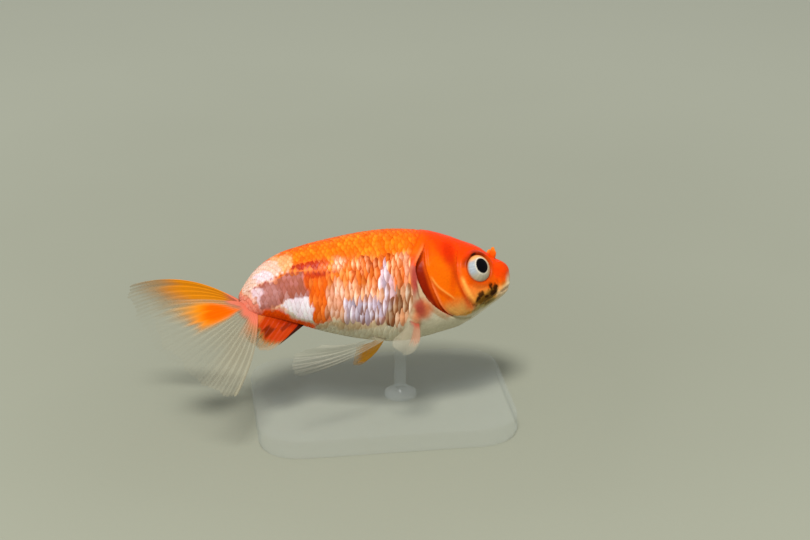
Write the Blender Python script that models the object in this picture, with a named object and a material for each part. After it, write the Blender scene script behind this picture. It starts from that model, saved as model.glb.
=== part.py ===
"""A young ranchu goldfish as a life-size museum model, banked on a clear display stand.

The fish is modelled in its own frame, in millimetres: +X to the snout, +Z to the back, the right
flank to -Y. One empty banks it and lifts it over the stand. The body is one lofted form, parted
with thin cuts into head, jaw, gill covers, trunk and tail stalk. Each fin is a fan of rays from
its root to its margin, cut back from the body by a thin gap.
"""

import math

import bmesh
import bpy
import numpy as np
from mathutils import Matrix, Vector

MM = 0.001
GAP = 0.3  # between neighbouring pieces

# Pose over the stand: the back leans away from the side that the right flank faces.
BANK_DEG = -22.0
PITCH_DEG = 3.0  # nose down
FISH_CENTRE = Vector((-2.0, 0.0, 30.0))

# Body stations: x, back height, belly height, half width, height of the widest level as a share
# of the depth from the belly, and the section's fullness (2 is an ellipse).
STATIONS = np.array([
    (-29.9, -0.8, -4.9, 1.5, 0.50, 2.0),
    (-28.6, 1.6, -5.2, 2.2, 0.50, 2.0),
    (-27.1, 3.8, -5.5, 3.0, 0.50, 2.0),
    (-24.9, 6.0, -5.7, 4.0, 0.50, 2.0),
    (-21.6, 8.2, -6.3, 5.2, 0.50, 2.0),
    (-16.0, 10.2, -7.8, 6.9, 0.48, 2.05),
    (-9.3, 11.9, -9.6, 8.3, 0.46, 2.1),
    (-2.7, 13.2, -10.9, 9.2, 0.45, 2.15),
    (4.0, 13.9, -11.5, 9.5, 0.45, 2.2),
    (9.6, 13.7, -10.8, 9.1, 0.46, 2.2),
    (15.1, 12.7, -9.4, 8.4, 0.46, 2.2),
    (19.6, 11.2, -8.0, 7.6, 0.47, 2.2),
    (23.6, 9.7, -5.7, 6.6, 0.48, 2.2),
    (26.3, 8.0, -3.8, 5.5, 0.48, 2.15),
    (28.4, 6.5, -2.3, 4.4, 0.48, 2.1),
    (29.9, 5.4, -1.1, 3.2, 0.48, 2.0),
    (30.8, 4.0, 0.4, 1.9, 0.50, 2.0),
    (31.1, 2.8, 1.6, 0.7, 0.50, 2.0),
])
BODY_RINGS, BODY_SIDES = 44, 28
PLAIN_RINGS, PLAIN_SIDES = 30, 22  # the grown and shrunk copies that only cut

# Slanted cuts across the body, each as a point on it and the lean from the vertical.
GILL_CUT = (7.6, 0.0)
GILL_LEAN_DEG = 22.8
STALK_CUT = (-17.5, 0.0)
STALK_LEAN_DEG = -8.0

# Outlines in the side view, in XZ.
GILL_COVER = [
    (10.6, 10.6), (9.2, 9.0), (8.4, 7.2), (8.3, 5.4), (8.8, 3.0), (9.7, 0.6), (11.1, -1.6),
    (13.2, -3.6), (15.4, -5.1), (17.8, -5.8), (20.2, -5.4), (21.3, -4.0), (20.4, -2.3),
    (18.9, -0.3), (18.0, 2.2), (17.5, 5.0), (17.1, 7.6), (15.8, 9.9), (13.2, 11.1),
]
GILL_COVER_THICK, GILL_COVER_PROUD = 1.0, 0.35
JAW = [(32.0, 1.4), (28.6, -0.1), (24.6, -1.7), (23.0, -4.6), (23.4, -8.0), (32.0, -8.0)]

EYE_CENTRE = Vector((22.5, -5.15, 4.55))
EYE_RADIUS, EYE_DEPTH = 3.35, 2.7
EYE_FORWARD_DEG, EYE_UP_DEG = 24.0, 12.0

# Fins of the right side. root: front and back of the fin's foot; margin: the outer edge from
# front to back; bow: how far the rays bend aside at half length; thick: at the root and the edge.
RIGHT_FINS = {
    "pectoral_fin_right": dict(
        root=[(9.2, -7.0, -6.8), (7.6, -7.2, -5.8)],
        margin=[(8.3, -10.6, -12.6), (6.7, -11.4, -13.7), (4.6, -12.0, -13.5), (2.8, -12.0, -12.0),
                (3.0, -10.9, -10.2)],
        bow=(0.5, -0.9, -0.2), thick=(1.0, 0.55), grid=(9, 7), ripple=(0.25, 2.0)),
    "pelvic_fin_right": dict(
        root=[(4.2, -2.6, -9.8), (1.0, -3.4, -9.6)],
        margin=[(-17.8, -9.8, -18.3), (-19.8, -10.8, -16.9), (-19.4, -11.4, -14.5),
                (-17.0, -11.4, -12.5), (-12.8, -10.4, -11.2)],
        bow=(0.2, -0.9, -1.0), thick=(1.0, 0.55), grid=(11, 8), ripple=(0.45, 1.5)),
    "anal_fin_right": dict(
        root=[(-14.8, -1.1, -6.8), (-23.2, -0.8, -5.0)],
        margin=[(-21.2, -2.8, -11.8), (-23.0, -3.1, -12.9), (-25.0, -3.1, -13.0),
                (-26.3, -2.9, -11.7), (-26.4, -2.2, -9.8)],
        bow=(0.3, -0.2, 0.2), thick=(0.9, 0.55), grid=(9, 6), ripple=(0.15, 1.5)),
    "tail_fin_lower_right": dict(
        root=[(-25.7, -1.0, -5.1), (-28.6, -1.0, -3.9)],
        margin=[(-31.1, -12.5, -22.2), (-33.5, -12.9, -22.5), (-36.9, -13.0, -20.9),
                (-40.3, -12.8, -18.4), (-43.2, -12.4, -15.8), (-45.3, -11.9, -13.6),
                (-46.6, -11.4, -12.1)],
        bow=(1.5, -0.9, 0.6), thick=(1.0, 0.55), grid=(12, 8), ripple=(0.5, 1.6)),
    "tail_fin_upper_right": dict(
        root=[(-28.9, -1.0, -3.6), (-29.4, -1.0, -2.4)],
        margin=[(-47.3, -11.0, -11.0), (-48.9, -10.0, -8.0), (-49.9, -8.7, -5.0),
                (-50.4, -7.0, -3.0), (-50.0, -5.2, -1.8)],
        bow=(0.2, -0.9, 0.7), thick=(1.0, 0.55), grid=(9, 8), ripple=(0.4, 1.6)),
}

# Each left fin mirrors the right one, then turns about its root, because no fish holds its pairs
# quite alike. turn: degrees about X (outwards is plus), Y (tip up is plus) and Z (tip inwards is
# plus); length: of the first and the last ray, against the right fin's; arch: how much higher the
# rays rise at half length.
LEFT_FINS = {
    "pectoral_fin_left": dict(turn=(10.0, 8.0, 0.0), length=(1.0, 1.0), arch=0.0),
    "pelvic_fin_left": dict(turn=(0.0, -28.0, -38.0), length=(0.62, 0.62), arch=0.0),
    "anal_fin_left": dict(turn=(0.0, 3.0, 0.0), length=(1.0, 1.0), arch=0.0),
    "tail_fin_lower_left": dict(turn=(-6.5, 6.5, 0.0), length=(0.92, 1.07), arch=0.6),
    "tail_fin_upper_left": dict(turn=(-6.5, 6.3, 0.0), length=(1.08, 1.19), arch=2.3),
}
TAIL_HINGE = (-27.6, 1.0, -3.4)  # both left tail lobes turn about one point

FLAP_ROOT, FLAP_TIP = (26.6, -1.7, 7.0), (26.5, -2.1, 9.6)
FLAP_WIDTH, FLAP_THICK = 2.0, 0.8

# Display stand: a clear plate with rounded corners, and one rod with a foot.
BASE_LENGTH, BASE_WIDTH, BASE_HEIGHT, BASE_CORNER = 58.0, 42.0, 4.5, 9.0
BASE_EDGE = 0.6
ROD_PLACE = (4.0, -2.2)
ROD_RADIUS, ROD_FOOT_RADIUS, ROD_FOOT_HEIGHT = 1.3, 3.6, 1.5
ROD_REACH = 25.0


def clear_scene():
    for obj in list(bpy.data.objects):
        bpy.data.objects.remove(obj, do_unlink=True)


def make_material(name, colour, roughness, metallic=0.0, alpha=1.0):
    material = bpy.data.materials.new(name)
    material.use_nodes = True
    shader = material.node_tree.nodes["Principled BSDF"]
    shader.inputs["Base Color"].default_value = (*colour, 1.0)
    shader.inputs["Roughness"].default_value = roughness
    shader.inputs["Metallic"].default_value = metallic
    shader.inputs["Alpha"].default_value = alpha
    return material


def make_object(name, mesh_data, material=None, smooth=True):
    """A new object from a bmesh in millimetres, in the fish's own frame."""
    mesh = bpy.data.meshes.new(name)
    bmesh.ops.recalc_face_normals(mesh_data, faces=mesh_data.faces)
    bmesh.ops.scale(mesh_data, vec=(MM, MM, MM), verts=mesh_data.verts)
    mesh_data.to_mesh(mesh)
    mesh_data.free()
    if smooth:
        mesh.shade_smooth()
        mesh.set_sharp_from_angle(angle=math.radians(40))
    if material:
        mesh.materials.append(material)
    obj = bpy.data.objects.new(name, mesh)
    bpy.context.scene.collection.objects.link(obj)
    return obj


def hide_helper(obj):
    obj.hide_render = True
    obj.display_type = "WIRE"
    return obj


def boolean(obj, other, operation):
    modifier = obj.modifiers.new(other.name, "BOOLEAN")
    modifier.operation = operation
    modifier.object = other
    modifier.solver = "EXACT"
    return obj


def smooth_through(rows, where):
    """Rows of numbers read along a smooth curve that passes through each of them. where runs
    from 0, the first row, to 1, the last, in proportion to the distance between rows."""
    rows = np.asarray(rows, float)
    steps = np.linalg.norm(np.diff(rows[:, :3], axis=0), axis=1)
    knots = np.concatenate([[0.0], np.cumsum(steps)]) / steps.sum()
    slopes = np.gradient(rows, knots, axis=0)
    where = np.clip(np.atleast_1d(where), 0.0, 1.0)
    left = np.clip(np.searchsorted(knots, where, side="right") - 1, 0, len(knots) - 2)
    width = (knots[left + 1] - knots[left])[:, None]
    t = ((where - knots[left]) / width[:, 0])[:, None]
    return (
        rows[left] * (1 + 2 * t) * (1 - t) ** 2
        + slopes[left] * width * t * (1 - t) ** 2
        + rows[left + 1] * t * t * (3 - 2 * t)
        + slopes[left + 1] * width * t * t * (t - 1)
    )


def body_section(station, angles, grow):
    """Points of one cross section, from the back round by the right flank."""
    x, top, bottom, half_width, level, fullness = station
    top, bottom, half_width = top + grow, bottom - grow, max(half_width + grow, 0.2)
    middle = bottom + level * (top - bottom)
    side, up = np.sin(angles), np.cos(angles)
    y = -half_width * np.sign(side) * np.abs(side) ** (2 / fullness)
    reach = np.where(up > 0, top - middle, middle - bottom)
    z = middle + reach * np.sign(up) * np.abs(up) ** (2 / fullness)
    return [(x, *pair) for pair in zip(y, z)]


def body_form(grow=0.0, rings=BODY_RINGS, sides=BODY_SIDES):
    """The whole body as one closed loft, grown by that many millimetres."""
    angles = np.linspace(0, 2 * math.pi, sides, endpoint=False)
    stations = smooth_through(STATIONS, np.linspace(0, 1, rings))
    stations[0, 0] -= grow
    stations[-1, 0] += grow
    form = bmesh.new()
    loops = [[form.verts.new(p) for p in body_section(s, angles, grow)] for s in stations]
    for near, far in zip(loops, loops[1:]):
        for k in range(sides):
            following = (k + 1) % sides
            form.faces.new((near[k], near[following], far[following], far[k]))
    for loop in (loops[0], loops[-1]):
        centre = form.verts.new(sum((v.co for v in loop), Vector()) / sides)
        for k in range(sides):
            form.faces.new((loop[k], loop[(k + 1) % sides], centre))
    return form


def keep_side(form, cut, lean_deg, forward):
    """Cuts a form with a plane that leans back at the top, half a gap to the side that stays."""
    lean = math.radians(lean_deg)
    normal = Vector((math.cos(lean), 0, math.sin(lean))) * (1 if forward else -1)
    place = Vector((cut[0], 0, cut[1])) + normal * GAP / 2
    everything = form.verts[:] + form.edges[:] + form.faces[:]
    bmesh.ops.bisect_plane(form, geom=everything, dist=1e-4, plane_co=place, plane_no=normal,
                           clear_inner=True)
    rim = [e for e in form.edges if e.is_boundary]
    bmesh.ops.contextual_create(form, geom=rim)
    bmesh.ops.triangulate(form, faces=[f for f in form.faces if len(f.verts) > 4])
    return form


def closed_outline(points, count):
    """A closed smooth outline through a few points."""
    around = np.array(points[-3:] + points + points[:4], float)
    around = np.column_stack([around, np.zeros(len(around))])
    fine = smooth_through(around, np.linspace(0, 1, 8 * len(around) + 1))[:, :2]
    first, last = np.array(points[0]), len(points)
    start = int(np.argmin(np.linalg.norm(fine[: 8 * 5] - first, axis=1)))
    end = start + int(np.argmin(np.linalg.norm(fine[start + 8 * (last - 2):] - first, axis=1)))
    end += 8 * (last - 2)
    pick = np.linspace(start, end, count, endpoint=False).round().astype(int)
    return fine[pick]


def grown_outline(outline, by):
    """Each point of a closed outline moved outwards by a distance."""
    along = np.roll(outline, -1, axis=0) - np.roll(outline, 1, axis=0)
    out = np.column_stack([along[:, 1], -along[:, 0]])
    out /= np.linalg.norm(out, axis=1)[:, None]
    ahead = np.roll(outline, -1, axis=0)
    area = np.sum(outline[:, 0] * ahead[:, 1] - ahead[:, 0] * outline[:, 1])
    return outline + out * by * np.sign(area)


def side_prism(outline, y_from, y_to):
    """An XZ outline extruded along Y."""
    form = bmesh.new()
    ends = [[form.verts.new((x, y, z)) for x, z in outline] for y in (y_from, y_to)]
    count = len(outline)
    for k in range(count):
        following = (k + 1) % count
        form.faces.new((ends[0][k], ends[0][following], ends[1][following], ends[1][k]))
    form.faces.new(ends[0])
    form.faces.new(ends[1][::-1])
    return form


def mirrored(point):
    return Vector((point[0], -point[1], point[2]))


def fin_points(fin, rows, columns):
    """A fan of rays: each runs from the root line to the margin and bows on the way. Returns
    points[row, column], with rows across the rays and columns along them."""
    root = np.array(fin["root"], float)
    margin = smooth_through(fin["margin"], np.linspace(0, 1, rows))
    bow = np.array(fin["bow"], float)
    share = np.linspace(0, 1, rows)[:, None]
    foot = root[0] * (1 - share) + root[1] * share
    along = np.linspace(0, 1, columns)[None, :, None]
    points = foot[:, None] * (1 - along) + margin[:, None] * along
    points = points + bow * (4 * along * (1 - along))
    height, waves = fin["ripple"]
    side = np.cross(points[-1, -1] - points[0, 0], points[0, -1] - points[0, 0])
    side /= np.linalg.norm(side)
    wave = height * np.sin(2 * math.pi * waves * share)[:, None] * along**1.5
    return points + wave * side


def fin_form(fin):
    """A fin as one closed body: two sheets either side of its rays, joined round the edge."""
    rows, columns = fin["grid"]
    points = fin_points(fin, rows, columns)
    across = np.gradient(points, axis=0)
    along = np.gradient(points, axis=1)
    normal = np.cross(across, along)
    normal /= np.linalg.norm(normal, axis=2)[..., None]
    thick = np.linspace(*fin["thick"], columns)[None, :, None]
    form = bmesh.new()
    sheets = []
    for side in (-0.5, 0.5):
        sheet = points + normal * thick * side
        sheets.append([[form.verts.new(p) for p in row] for row in sheet])
    for sheet in sheets:
        for i in range(rows - 1):
            for j in range(columns - 1):
                form.faces.new((sheet[i][j], sheet[i + 1][j], sheet[i + 1][j + 1], sheet[i][j + 1]))
    rim = [(i, 0) for i in range(rows)] + [(rows - 1, j) for j in range(1, columns)]
    rim += [(i, columns - 1) for i in range(rows - 2, -1, -1)]
    rim += [(0, j) for j in range(columns - 2, 0, -1)]
    for (i, j), (k, m) in zip(rim, rim[1:] + rim[:1]):
        form.faces.new((sheets[0][i][j], sheets[0][k][m], sheets[1][k][m], sheets[1][i][j]))
    return form


def left_fin(fin, change, hinge):
    """The mirror image of a right fin, turned about its root."""
    spin, lift, swing = (math.radians(a) for a in change["turn"])
    turn = Matrix.Rotation(spin, 3, "X") @ Matrix.Rotation(lift, 3, "Y") @ Matrix.Rotation(swing, 3, "Z")
    root = [mirrored(p) for p in fin["root"]]
    hinge = Vector(hinge) if hinge else (root[0] + root[1]) / 2
    made = dict(fin)
    made["root"] = [hinge + turn @ (p - hinge) for p in root]
    lengths = np.linspace(*change["length"], len(fin["margin"]))
    made["margin"] = [
        hinge + turn @ ((mirrored(p) - hinge) * float(length))
        for p, length in zip(fin["margin"], lengths)]
    made["bow"] = turn @ mirrored(fin["bow"]) + Vector((0, 0, change["arch"]))
    return made


def all_fins():
    fins = dict(RIGHT_FINS)
    for name, change in LEFT_FINS.items():
        hinge = TAIL_HINGE if name.startswith("tail") else None
        fins[name] = left_fin(RIGHT_FINS[name.replace("left", "right")], change, hinge)
    return fins


def eye_matrix(side):
    """Turns a flattened ball so that its short axis points out, forward and up. side is -1 on
    the right and 1 on the left."""
    forward, up = math.radians(EYE_FORWARD_DEG), math.radians(EYE_UP_DEG)
    out = Vector((math.sin(forward), side * math.cos(forward) * math.cos(up), math.sin(up)))
    centre = Vector((EYE_CENTRE.x, -side * EYE_CENTRE.y, EYE_CENTRE.z))
    return Matrix.Translation(centre) @ out.to_track_quat("Z", "Y").to_matrix().to_4x4()


def eye_form(side, grow=0.0, segments=20, rings=12):
    form = bmesh.new()
    bmesh.ops.create_uvsphere(form, u_segments=segments, v_segments=rings, radius=1.0)
    wide, deep = EYE_RADIUS + grow, EYE_DEPTH + grow
    bmesh.ops.scale(form, vec=(wide, wide, deep), verts=form.verts)
    bmesh.ops.transform(form, matrix=eye_matrix(side), verts=form.verts)
    return form


def flap_form(side):
    """A nostril flap: a small upright leaf."""
    root, tip = Vector(FLAP_ROOT), Vector(FLAP_TIP)
    if side > 0:
        root, tip = mirrored(root), mirrored(tip)
    axis = tip - root
    form = bmesh.new()
    bmesh.ops.create_uvsphere(form, u_segments=10, v_segments=8, radius=1.0)
    for vert in form.verts:
        height = (vert.co.z + 1) / 2
        swell = 1.1 - 0.45 * height
        vert.co = Vector((
            vert.co.x * FLAP_WIDTH / 2 * swell,
            vert.co.y * FLAP_THICK / 2 * 1.1,
            vert.co.z * axis.length / 2,
        ))
    turn = axis.to_track_quat("Z", "Y").to_matrix().to_4x4()
    bmesh.ops.transform(form, matrix=Matrix.Translation((root + tip) / 2) @ turn, verts=form.verts)
    return form


def build_head(parts, cutters, flesh, orange):
    """Head, jaw and gill covers, all carved from one loft."""
    outline = closed_outline(GILL_COVER, 30)
    head = make_object("head", keep_side(body_form(), GILL_CUT, GILL_LEAN_DEG, True), orange)
    jaw = make_object("lower_jaw", body_form(), flesh)
    jaw_region = hide_helper(make_object("jaw_region", side_prism(JAW, -9, 9)))
    jaw_room = hide_helper(
        make_object("jaw_room", side_prism(grown_outline(np.array(JAW), GAP), -9, 9)))
    boolean(jaw, jaw_region, "INTERSECT")
    boolean(head, jaw_room, "DIFFERENCE")
    shell = hide_helper(make_object("cover_shell", body_form(GILL_COVER_PROUD)))
    core = hide_helper(make_object(
        "cover_core", body_form(-GILL_COVER_THICK, PLAIN_RINGS, PLAIN_SIDES)))
    deep_core = hide_helper(make_object(
        "cover_bed", body_form(-GILL_COVER_THICK - GAP, PLAIN_RINGS, PLAIN_SIDES)))
    for side, word in ((-1, "right"), (1, "left")):
        y_range = (side * 1.0, side * 12.0)
        cover = make_object(f"gill_cover_{word}", side_prism(outline, *y_range), orange)
        boolean(cover, shell, "INTERSECT")
        boolean(cover, core, "DIFFERENCE")
        pocket = hide_helper(make_object(
            f"pocket_{word}", side_prism(grown_outline(outline, GAP), *y_range)))
        boolean(pocket, deep_core, "DIFFERENCE")
        boolean(head, pocket, "DIFFERENCE")
        socket = hide_helper(make_object(f"socket_{word}", eye_form(side, GAP)))
        boolean(head, socket, "DIFFERENCE")
        parts.append(cover)
        cutters += [pocket, socket]
    parts += [head, jaw]
    cutters += [jaw_region, jaw_room, shell, core, deep_core]


def build_trunk(parts, flesh):
    """Trunk and tail stalk."""
    trunk = keep_side(body_form(), GILL_CUT, GILL_LEAN_DEG, False)
    trunk = keep_side(trunk, STALK_CUT, STALK_LEAN_DEG, True)
    parts.append(make_object("trunk", trunk, flesh))
    stalk = keep_side(body_form(), STALK_CUT, STALK_LEAN_DEG, False)
    parts.append(make_object("tail_stalk", stalk, flesh))


def build_eyes_and_flaps(parts, clearance, eye_white, orange):
    for side, word in ((-1, "right"), (1, "left")):
        parts.append(make_object(f"eye_{word}", eye_form(side), eye_white))
        flap = make_object(f"nostril_flap_{word}", flap_form(side), orange)
        parts.append(boolean(flap, clearance, "DIFFERENCE"))


def build_fins(parts, clearance, web):
    for name, fin in all_fins().items():
        obj = make_object(name, fin_form(fin), web)
        parts.append(boolean(obj, clearance, "DIFFERENCE"))


def rounded_rectangle(length, width, corner, steps=6):
    points = []
    for k, (sx, sy) in enumerate(((1, 1), (-1, 1), (-1, -1), (1, -1))):
        for step in range(steps):
            angle = math.radians(90 * (k + step / (steps - 1)))
            points.append((
                sx * (length / 2 - corner) + corner * math.cos(angle),
                sy * (width / 2 - corner) + corner * math.sin(angle),
            ))
    return points


def build_stand(clearance, acrylic):
    """The plate, and a turned rod that ends just under the belly."""
    outline = rounded_rectangle(BASE_LENGTH, BASE_WIDTH, BASE_CORNER)
    form = bmesh.new()
    floor = form.faces.new([form.verts.new((x, y, 0)) for x, y in outline])
    raised = bmesh.ops.extrude_face_region(form, geom=[floor])["geom"]
    top = [g for g in raised if isinstance(g, bmesh.types.BMVert)]
    bmesh.ops.translate(form, vec=(0, 0, BASE_HEIGHT), verts=top)
    base = make_object("stand_base", form, acrylic)
    edge = base.modifiers.new("edge", "BEVEL")
    edge.width = BASE_EDGE * MM
    edge.segments = 2
    edge.limit_method = "ANGLE"

    profile = [(ROD_FOOT_RADIUS, 0.0), (ROD_FOOT_RADIUS, 0.7), (ROD_FOOT_RADIUS - 0.5, 1.1)]
    profile += [(ROD_RADIUS + 0.5, ROD_FOOT_HEIGHT - 0.2), (ROD_RADIUS, ROD_FOOT_HEIGHT + 0.3)]
    profile += [(ROD_RADIUS, ROD_REACH)]
    sides = 20
    rod = bmesh.new()
    foot = BASE_HEIGHT + GAP
    rings = []
    for radius, height in profile:
        ring = []
        for k in range(sides):
            angle = 2 * math.pi * k / sides
            ring.append(rod.verts.new((
                ROD_PLACE[0] + radius * math.cos(angle),
                ROD_PLACE[1] + radius * math.sin(angle),
                foot + height,
            )))
        rings.append(ring)
    for low, high in zip(rings, rings[1:]):
        for k in range(sides):
            following = (k + 1) % sides
            rod.faces.new((low[k], low[following], high[following], high[k]))
    rod.faces.new(rings[0][::-1])
    rod.faces.new(rings[-1])
    rod = make_object("stand_rod", rod, acrylic)
    boolean(rod, clearance, "DIFFERENCE")


def main():
    clear_scene()
    orange = make_material("orange_skin", (0.90, 0.16, 0.01), 0.35)
    flesh = make_material("pale_flesh", (0.72, 0.52, 0.42), 0.35)
    web = make_material("fin_web", (0.70, 0.62, 0.48), 0.40, alpha=0.6)
    eye_white = make_material("eye_silver", (0.70, 0.66, 0.58), 0.15)
    acrylic = make_material("clear_acrylic", (0.92, 0.94, 0.94), 0.05, alpha=0.35)

    pose = bpy.data.objects.new("fish_pose", None)
    bpy.context.scene.collection.objects.link(pose)
    pose.location = FISH_CENTRE * MM
    pose.rotation_euler = (math.radians(BANK_DEG), math.radians(PITCH_DEG), 0)

    clearance = hide_helper(make_object("body_clearance", body_form(GAP)))
    parts, cutters = [], [clearance]
    build_head(parts, cutters, flesh, orange)
    build_trunk(parts, flesh)
    build_eyes_and_flaps(parts, clearance, eye_white, orange)
    build_fins(parts, clearance, web)
    for obj in parts + cutters:
        obj.parent = pose
    build_stand(clearance, acrylic)


main()
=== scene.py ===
"""A young ranchu goldfish as a life-size museum model, banked on a clear display stand.

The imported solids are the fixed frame, in metres. The fish's own forms are worked out in
millimetres in its own frame, +X to the snout, +Z to the back and the right flank to -Y, and one
matrix banks them over the stand.
"""

import math

import bpy
import numpy as np
from mathutils import Euler, Matrix, Vector


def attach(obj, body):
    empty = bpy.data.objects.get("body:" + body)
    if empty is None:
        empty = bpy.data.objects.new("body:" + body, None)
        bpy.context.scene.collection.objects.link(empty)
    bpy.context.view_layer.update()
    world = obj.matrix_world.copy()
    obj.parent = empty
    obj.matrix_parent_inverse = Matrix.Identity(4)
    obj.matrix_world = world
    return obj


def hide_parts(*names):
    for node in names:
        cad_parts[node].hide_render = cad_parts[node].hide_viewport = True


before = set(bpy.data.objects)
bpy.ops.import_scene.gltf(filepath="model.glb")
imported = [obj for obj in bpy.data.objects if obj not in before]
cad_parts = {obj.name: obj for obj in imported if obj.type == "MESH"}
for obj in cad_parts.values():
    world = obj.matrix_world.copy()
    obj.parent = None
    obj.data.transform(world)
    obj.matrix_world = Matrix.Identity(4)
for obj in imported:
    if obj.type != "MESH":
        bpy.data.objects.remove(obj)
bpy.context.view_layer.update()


# ---- Board, light and camera ----------------------------------------------------------------
# The model stands on a wide matt board, painted a pale grey-green. A large soft lamp hangs
# overhead, a little to the front and left, and the room adds a weak light from all round.

BOARD_WIDTH = 8.0
BOARD_TOP = -0.00005  # a hair below the stand, so that the two faces do not coincide
LAMP_SIZE, LAMP_POWER = 0.15, 5.6
LAMP_PLACE, LAMP_COLOUR = (-0.10, -0.36, 0.68), (1.0, 0.985, 0.96)
ROOM_LIGHT, ROOM_COLOUR = 0.50, (0.97, 1.0, 1.0, 1.0)
CAMERA_AZIMUTH, CAMERA_ELEVATION, CAMERA_DISTANCE = -7.0, 24.0, 0.4255
CAMERA_AIM = (0.00734, 0.00445)  # right of and above the fish's centre, across the view
CAMERA_LENS = 85
FISH_CENTRE = Vector((-0.002, 0.0, 0.030))


def texture_place(tree):
    """A node's place, in metres in the piece's own space."""
    return tree.nodes.new("ShaderNodeTexCoord").outputs["Object"]


def add_noise(tree, size, detail=3.0, roughness=0.5):
    """A noise texture with blobs of that size in metres."""
    noise = tree.nodes.new("ShaderNodeTexNoise")
    noise.inputs["Scale"].default_value = 1 / size
    noise.inputs["Detail"].default_value = detail
    noise.inputs["Roughness"].default_value = roughness
    tree.links.new(texture_place(tree), noise.inputs["Vector"])
    return noise


def add_ramp(tree, source, stops):
    """A colour ramp on a grey value. stops: place, then a colour or one grey value."""
    ramp = tree.nodes.new("ShaderNodeValToRGB")
    elements = ramp.color_ramp.elements
    while len(elements) < len(stops):
        elements.new(0.5)
    for element, (place, colour) in zip(elements, stops):
        element.position = place
        element.color = (*colour, 1.0) if len(colour) == 3 else (colour[0],) * 3 + (1.0,)
    tree.links.new(source, ramp.inputs["Fac"])
    return ramp.outputs["Color"]


def add_bump(tree, height, strength, distance):
    bump = tree.nodes.new("ShaderNodeBump")
    bump.inputs["Strength"].default_value = strength
    bump.inputs["Distance"].default_value = distance
    tree.links.new(height, bump.inputs["Height"])
    return bump.outputs["Normal"]


def new_material(name, roughness=0.5, **sockets):
    """A material with its Principled shader. sockets: plain values by socket name."""
    material = bpy.data.materials.new(name)
    material.use_nodes = True
    shader = material.node_tree.nodes["Principled BSDF"]
    shader.inputs["Roughness"].default_value = roughness
    for key, value in sockets.items():
        shader.inputs[key.replace("_", " ").title().replace("Ior", "IOR")].default_value = value
    return material, material.node_tree, shader


def board_paint():
    """Grey-green, with painted light and shade: darker round the model and paler away from it."""
    material, tree, shader = new_material("board_paint", roughness=0.75, specular_ior_level=0.1)
    reach = tree.nodes.new("ShaderNodeVectorMath")
    reach.operation = "LENGTH"
    tree.links.new(texture_place(tree), reach.inputs[0])
    cloud = add_noise(tree, 0.09, detail=2.0)
    wander = tree.nodes.new("ShaderNodeMath")
    wander.operation = "MULTIPLY_ADD"
    tree.links.new(cloud.outputs["Fac"], wander.inputs[0])
    wander.inputs[1].default_value = 0.05
    tree.links.new(reach.outputs["Value"], wander.inputs[2])
    # painted light and shade: the board darkens towards the model and pales towards its edges
    colour = add_ramp(tree, wander.outputs["Value"], [
        (0.08, (0.300, 0.308, 0.238)), (0.30, (0.420, 0.432, 0.345)), (1.0, (0.60, 0.61, 0.51))])
    tree.links.new(colour, shader.inputs["Base Color"])
    grain = add_noise(tree, 0.0012)
    tree.links.new(add_bump(tree, grain.outputs["Fac"], 0.12, 0.0002), shader.inputs["Normal"])
    return material


def make_board():
    half = BOARD_WIDTH / 2
    mesh = bpy.data.meshes.new("board")
    corners = [(x * half, y * half, BOARD_TOP) for x, y in ((-1, -1), (1, -1), (1, 1), (-1, 1))]
    mesh.from_pydata(corners, [], [(0, 1, 2, 3)])
    mesh.materials.append(board_paint())
    board = bpy.data.objects.new("board", mesh)
    bpy.context.scene.collection.objects.link(board)


def make_lamp():
    lamp = bpy.data.lights.new("overhead_lamp", "AREA")
    lamp.size = LAMP_SIZE
    lamp.energy = LAMP_POWER
    lamp.color = LAMP_COLOUR
    holder = bpy.data.objects.new("overhead_lamp", lamp)
    bpy.context.scene.collection.objects.link(holder)
    holder.location = LAMP_PLACE
    holder.rotation_euler = (FISH_CENTRE - holder.location).to_track_quat("-Z", "Y").to_euler()
    world = bpy.data.worlds.new("room")
    world.use_nodes = True
    background = world.node_tree.nodes["Background"]
    background.inputs["Color"].default_value = ROOM_COLOUR
    background.inputs["Strength"].default_value = ROOM_LIGHT
    bpy.context.scene.world = world


def make_camera():
    azimuth, elevation = math.radians(CAMERA_AZIMUTH), math.radians(CAMERA_ELEVATION)
    out = Vector((
        math.sin(azimuth) * math.cos(elevation),
        -math.cos(azimuth) * math.cos(elevation),
        math.sin(elevation),
    ))
    right = Vector((math.cos(azimuth), math.sin(azimuth), 0))
    aim = FISH_CENTRE + right * CAMERA_AIM[0] + out.cross(right) * CAMERA_AIM[1]
    lens = bpy.data.cameras.new("camera")
    lens.lens = CAMERA_LENS
    lens.clip_start = 0.01
    camera = bpy.data.objects.new("camera", lens)
    bpy.context.scene.collection.objects.link(camera)
    camera.location = FISH_CENTRE + out * CAMERA_DISTANCE
    camera.rotation_euler = (aim - camera.location).to_track_quat("-Z", "Y").to_euler()
    bpy.context.scene.camera = camera
    bpy.context.scene.view_settings.view_transform = "Standard"


make_board()
make_lamp()
make_camera()


# ---- Body form and markings -----------------------------------------------------------------
# One loft carries skin and scales: cross sections from the tail stalk to the snout, the same as
# the solids were cut from. The markings are soft patches of pigment and of silver laid over a
# ground that goes from an orange back to a pale belly.

MM = 0.001
FAR = 1e9  # millimetres, further than anything
BANK_DEG, PITCH_DEG = -22.0, 3.0
fish_pose = Matrix.Translation(FISH_CENTRE) @ Euler(
    (math.radians(BANK_DEG), math.radians(PITCH_DEG), 0)).to_matrix().to_4x4()

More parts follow.
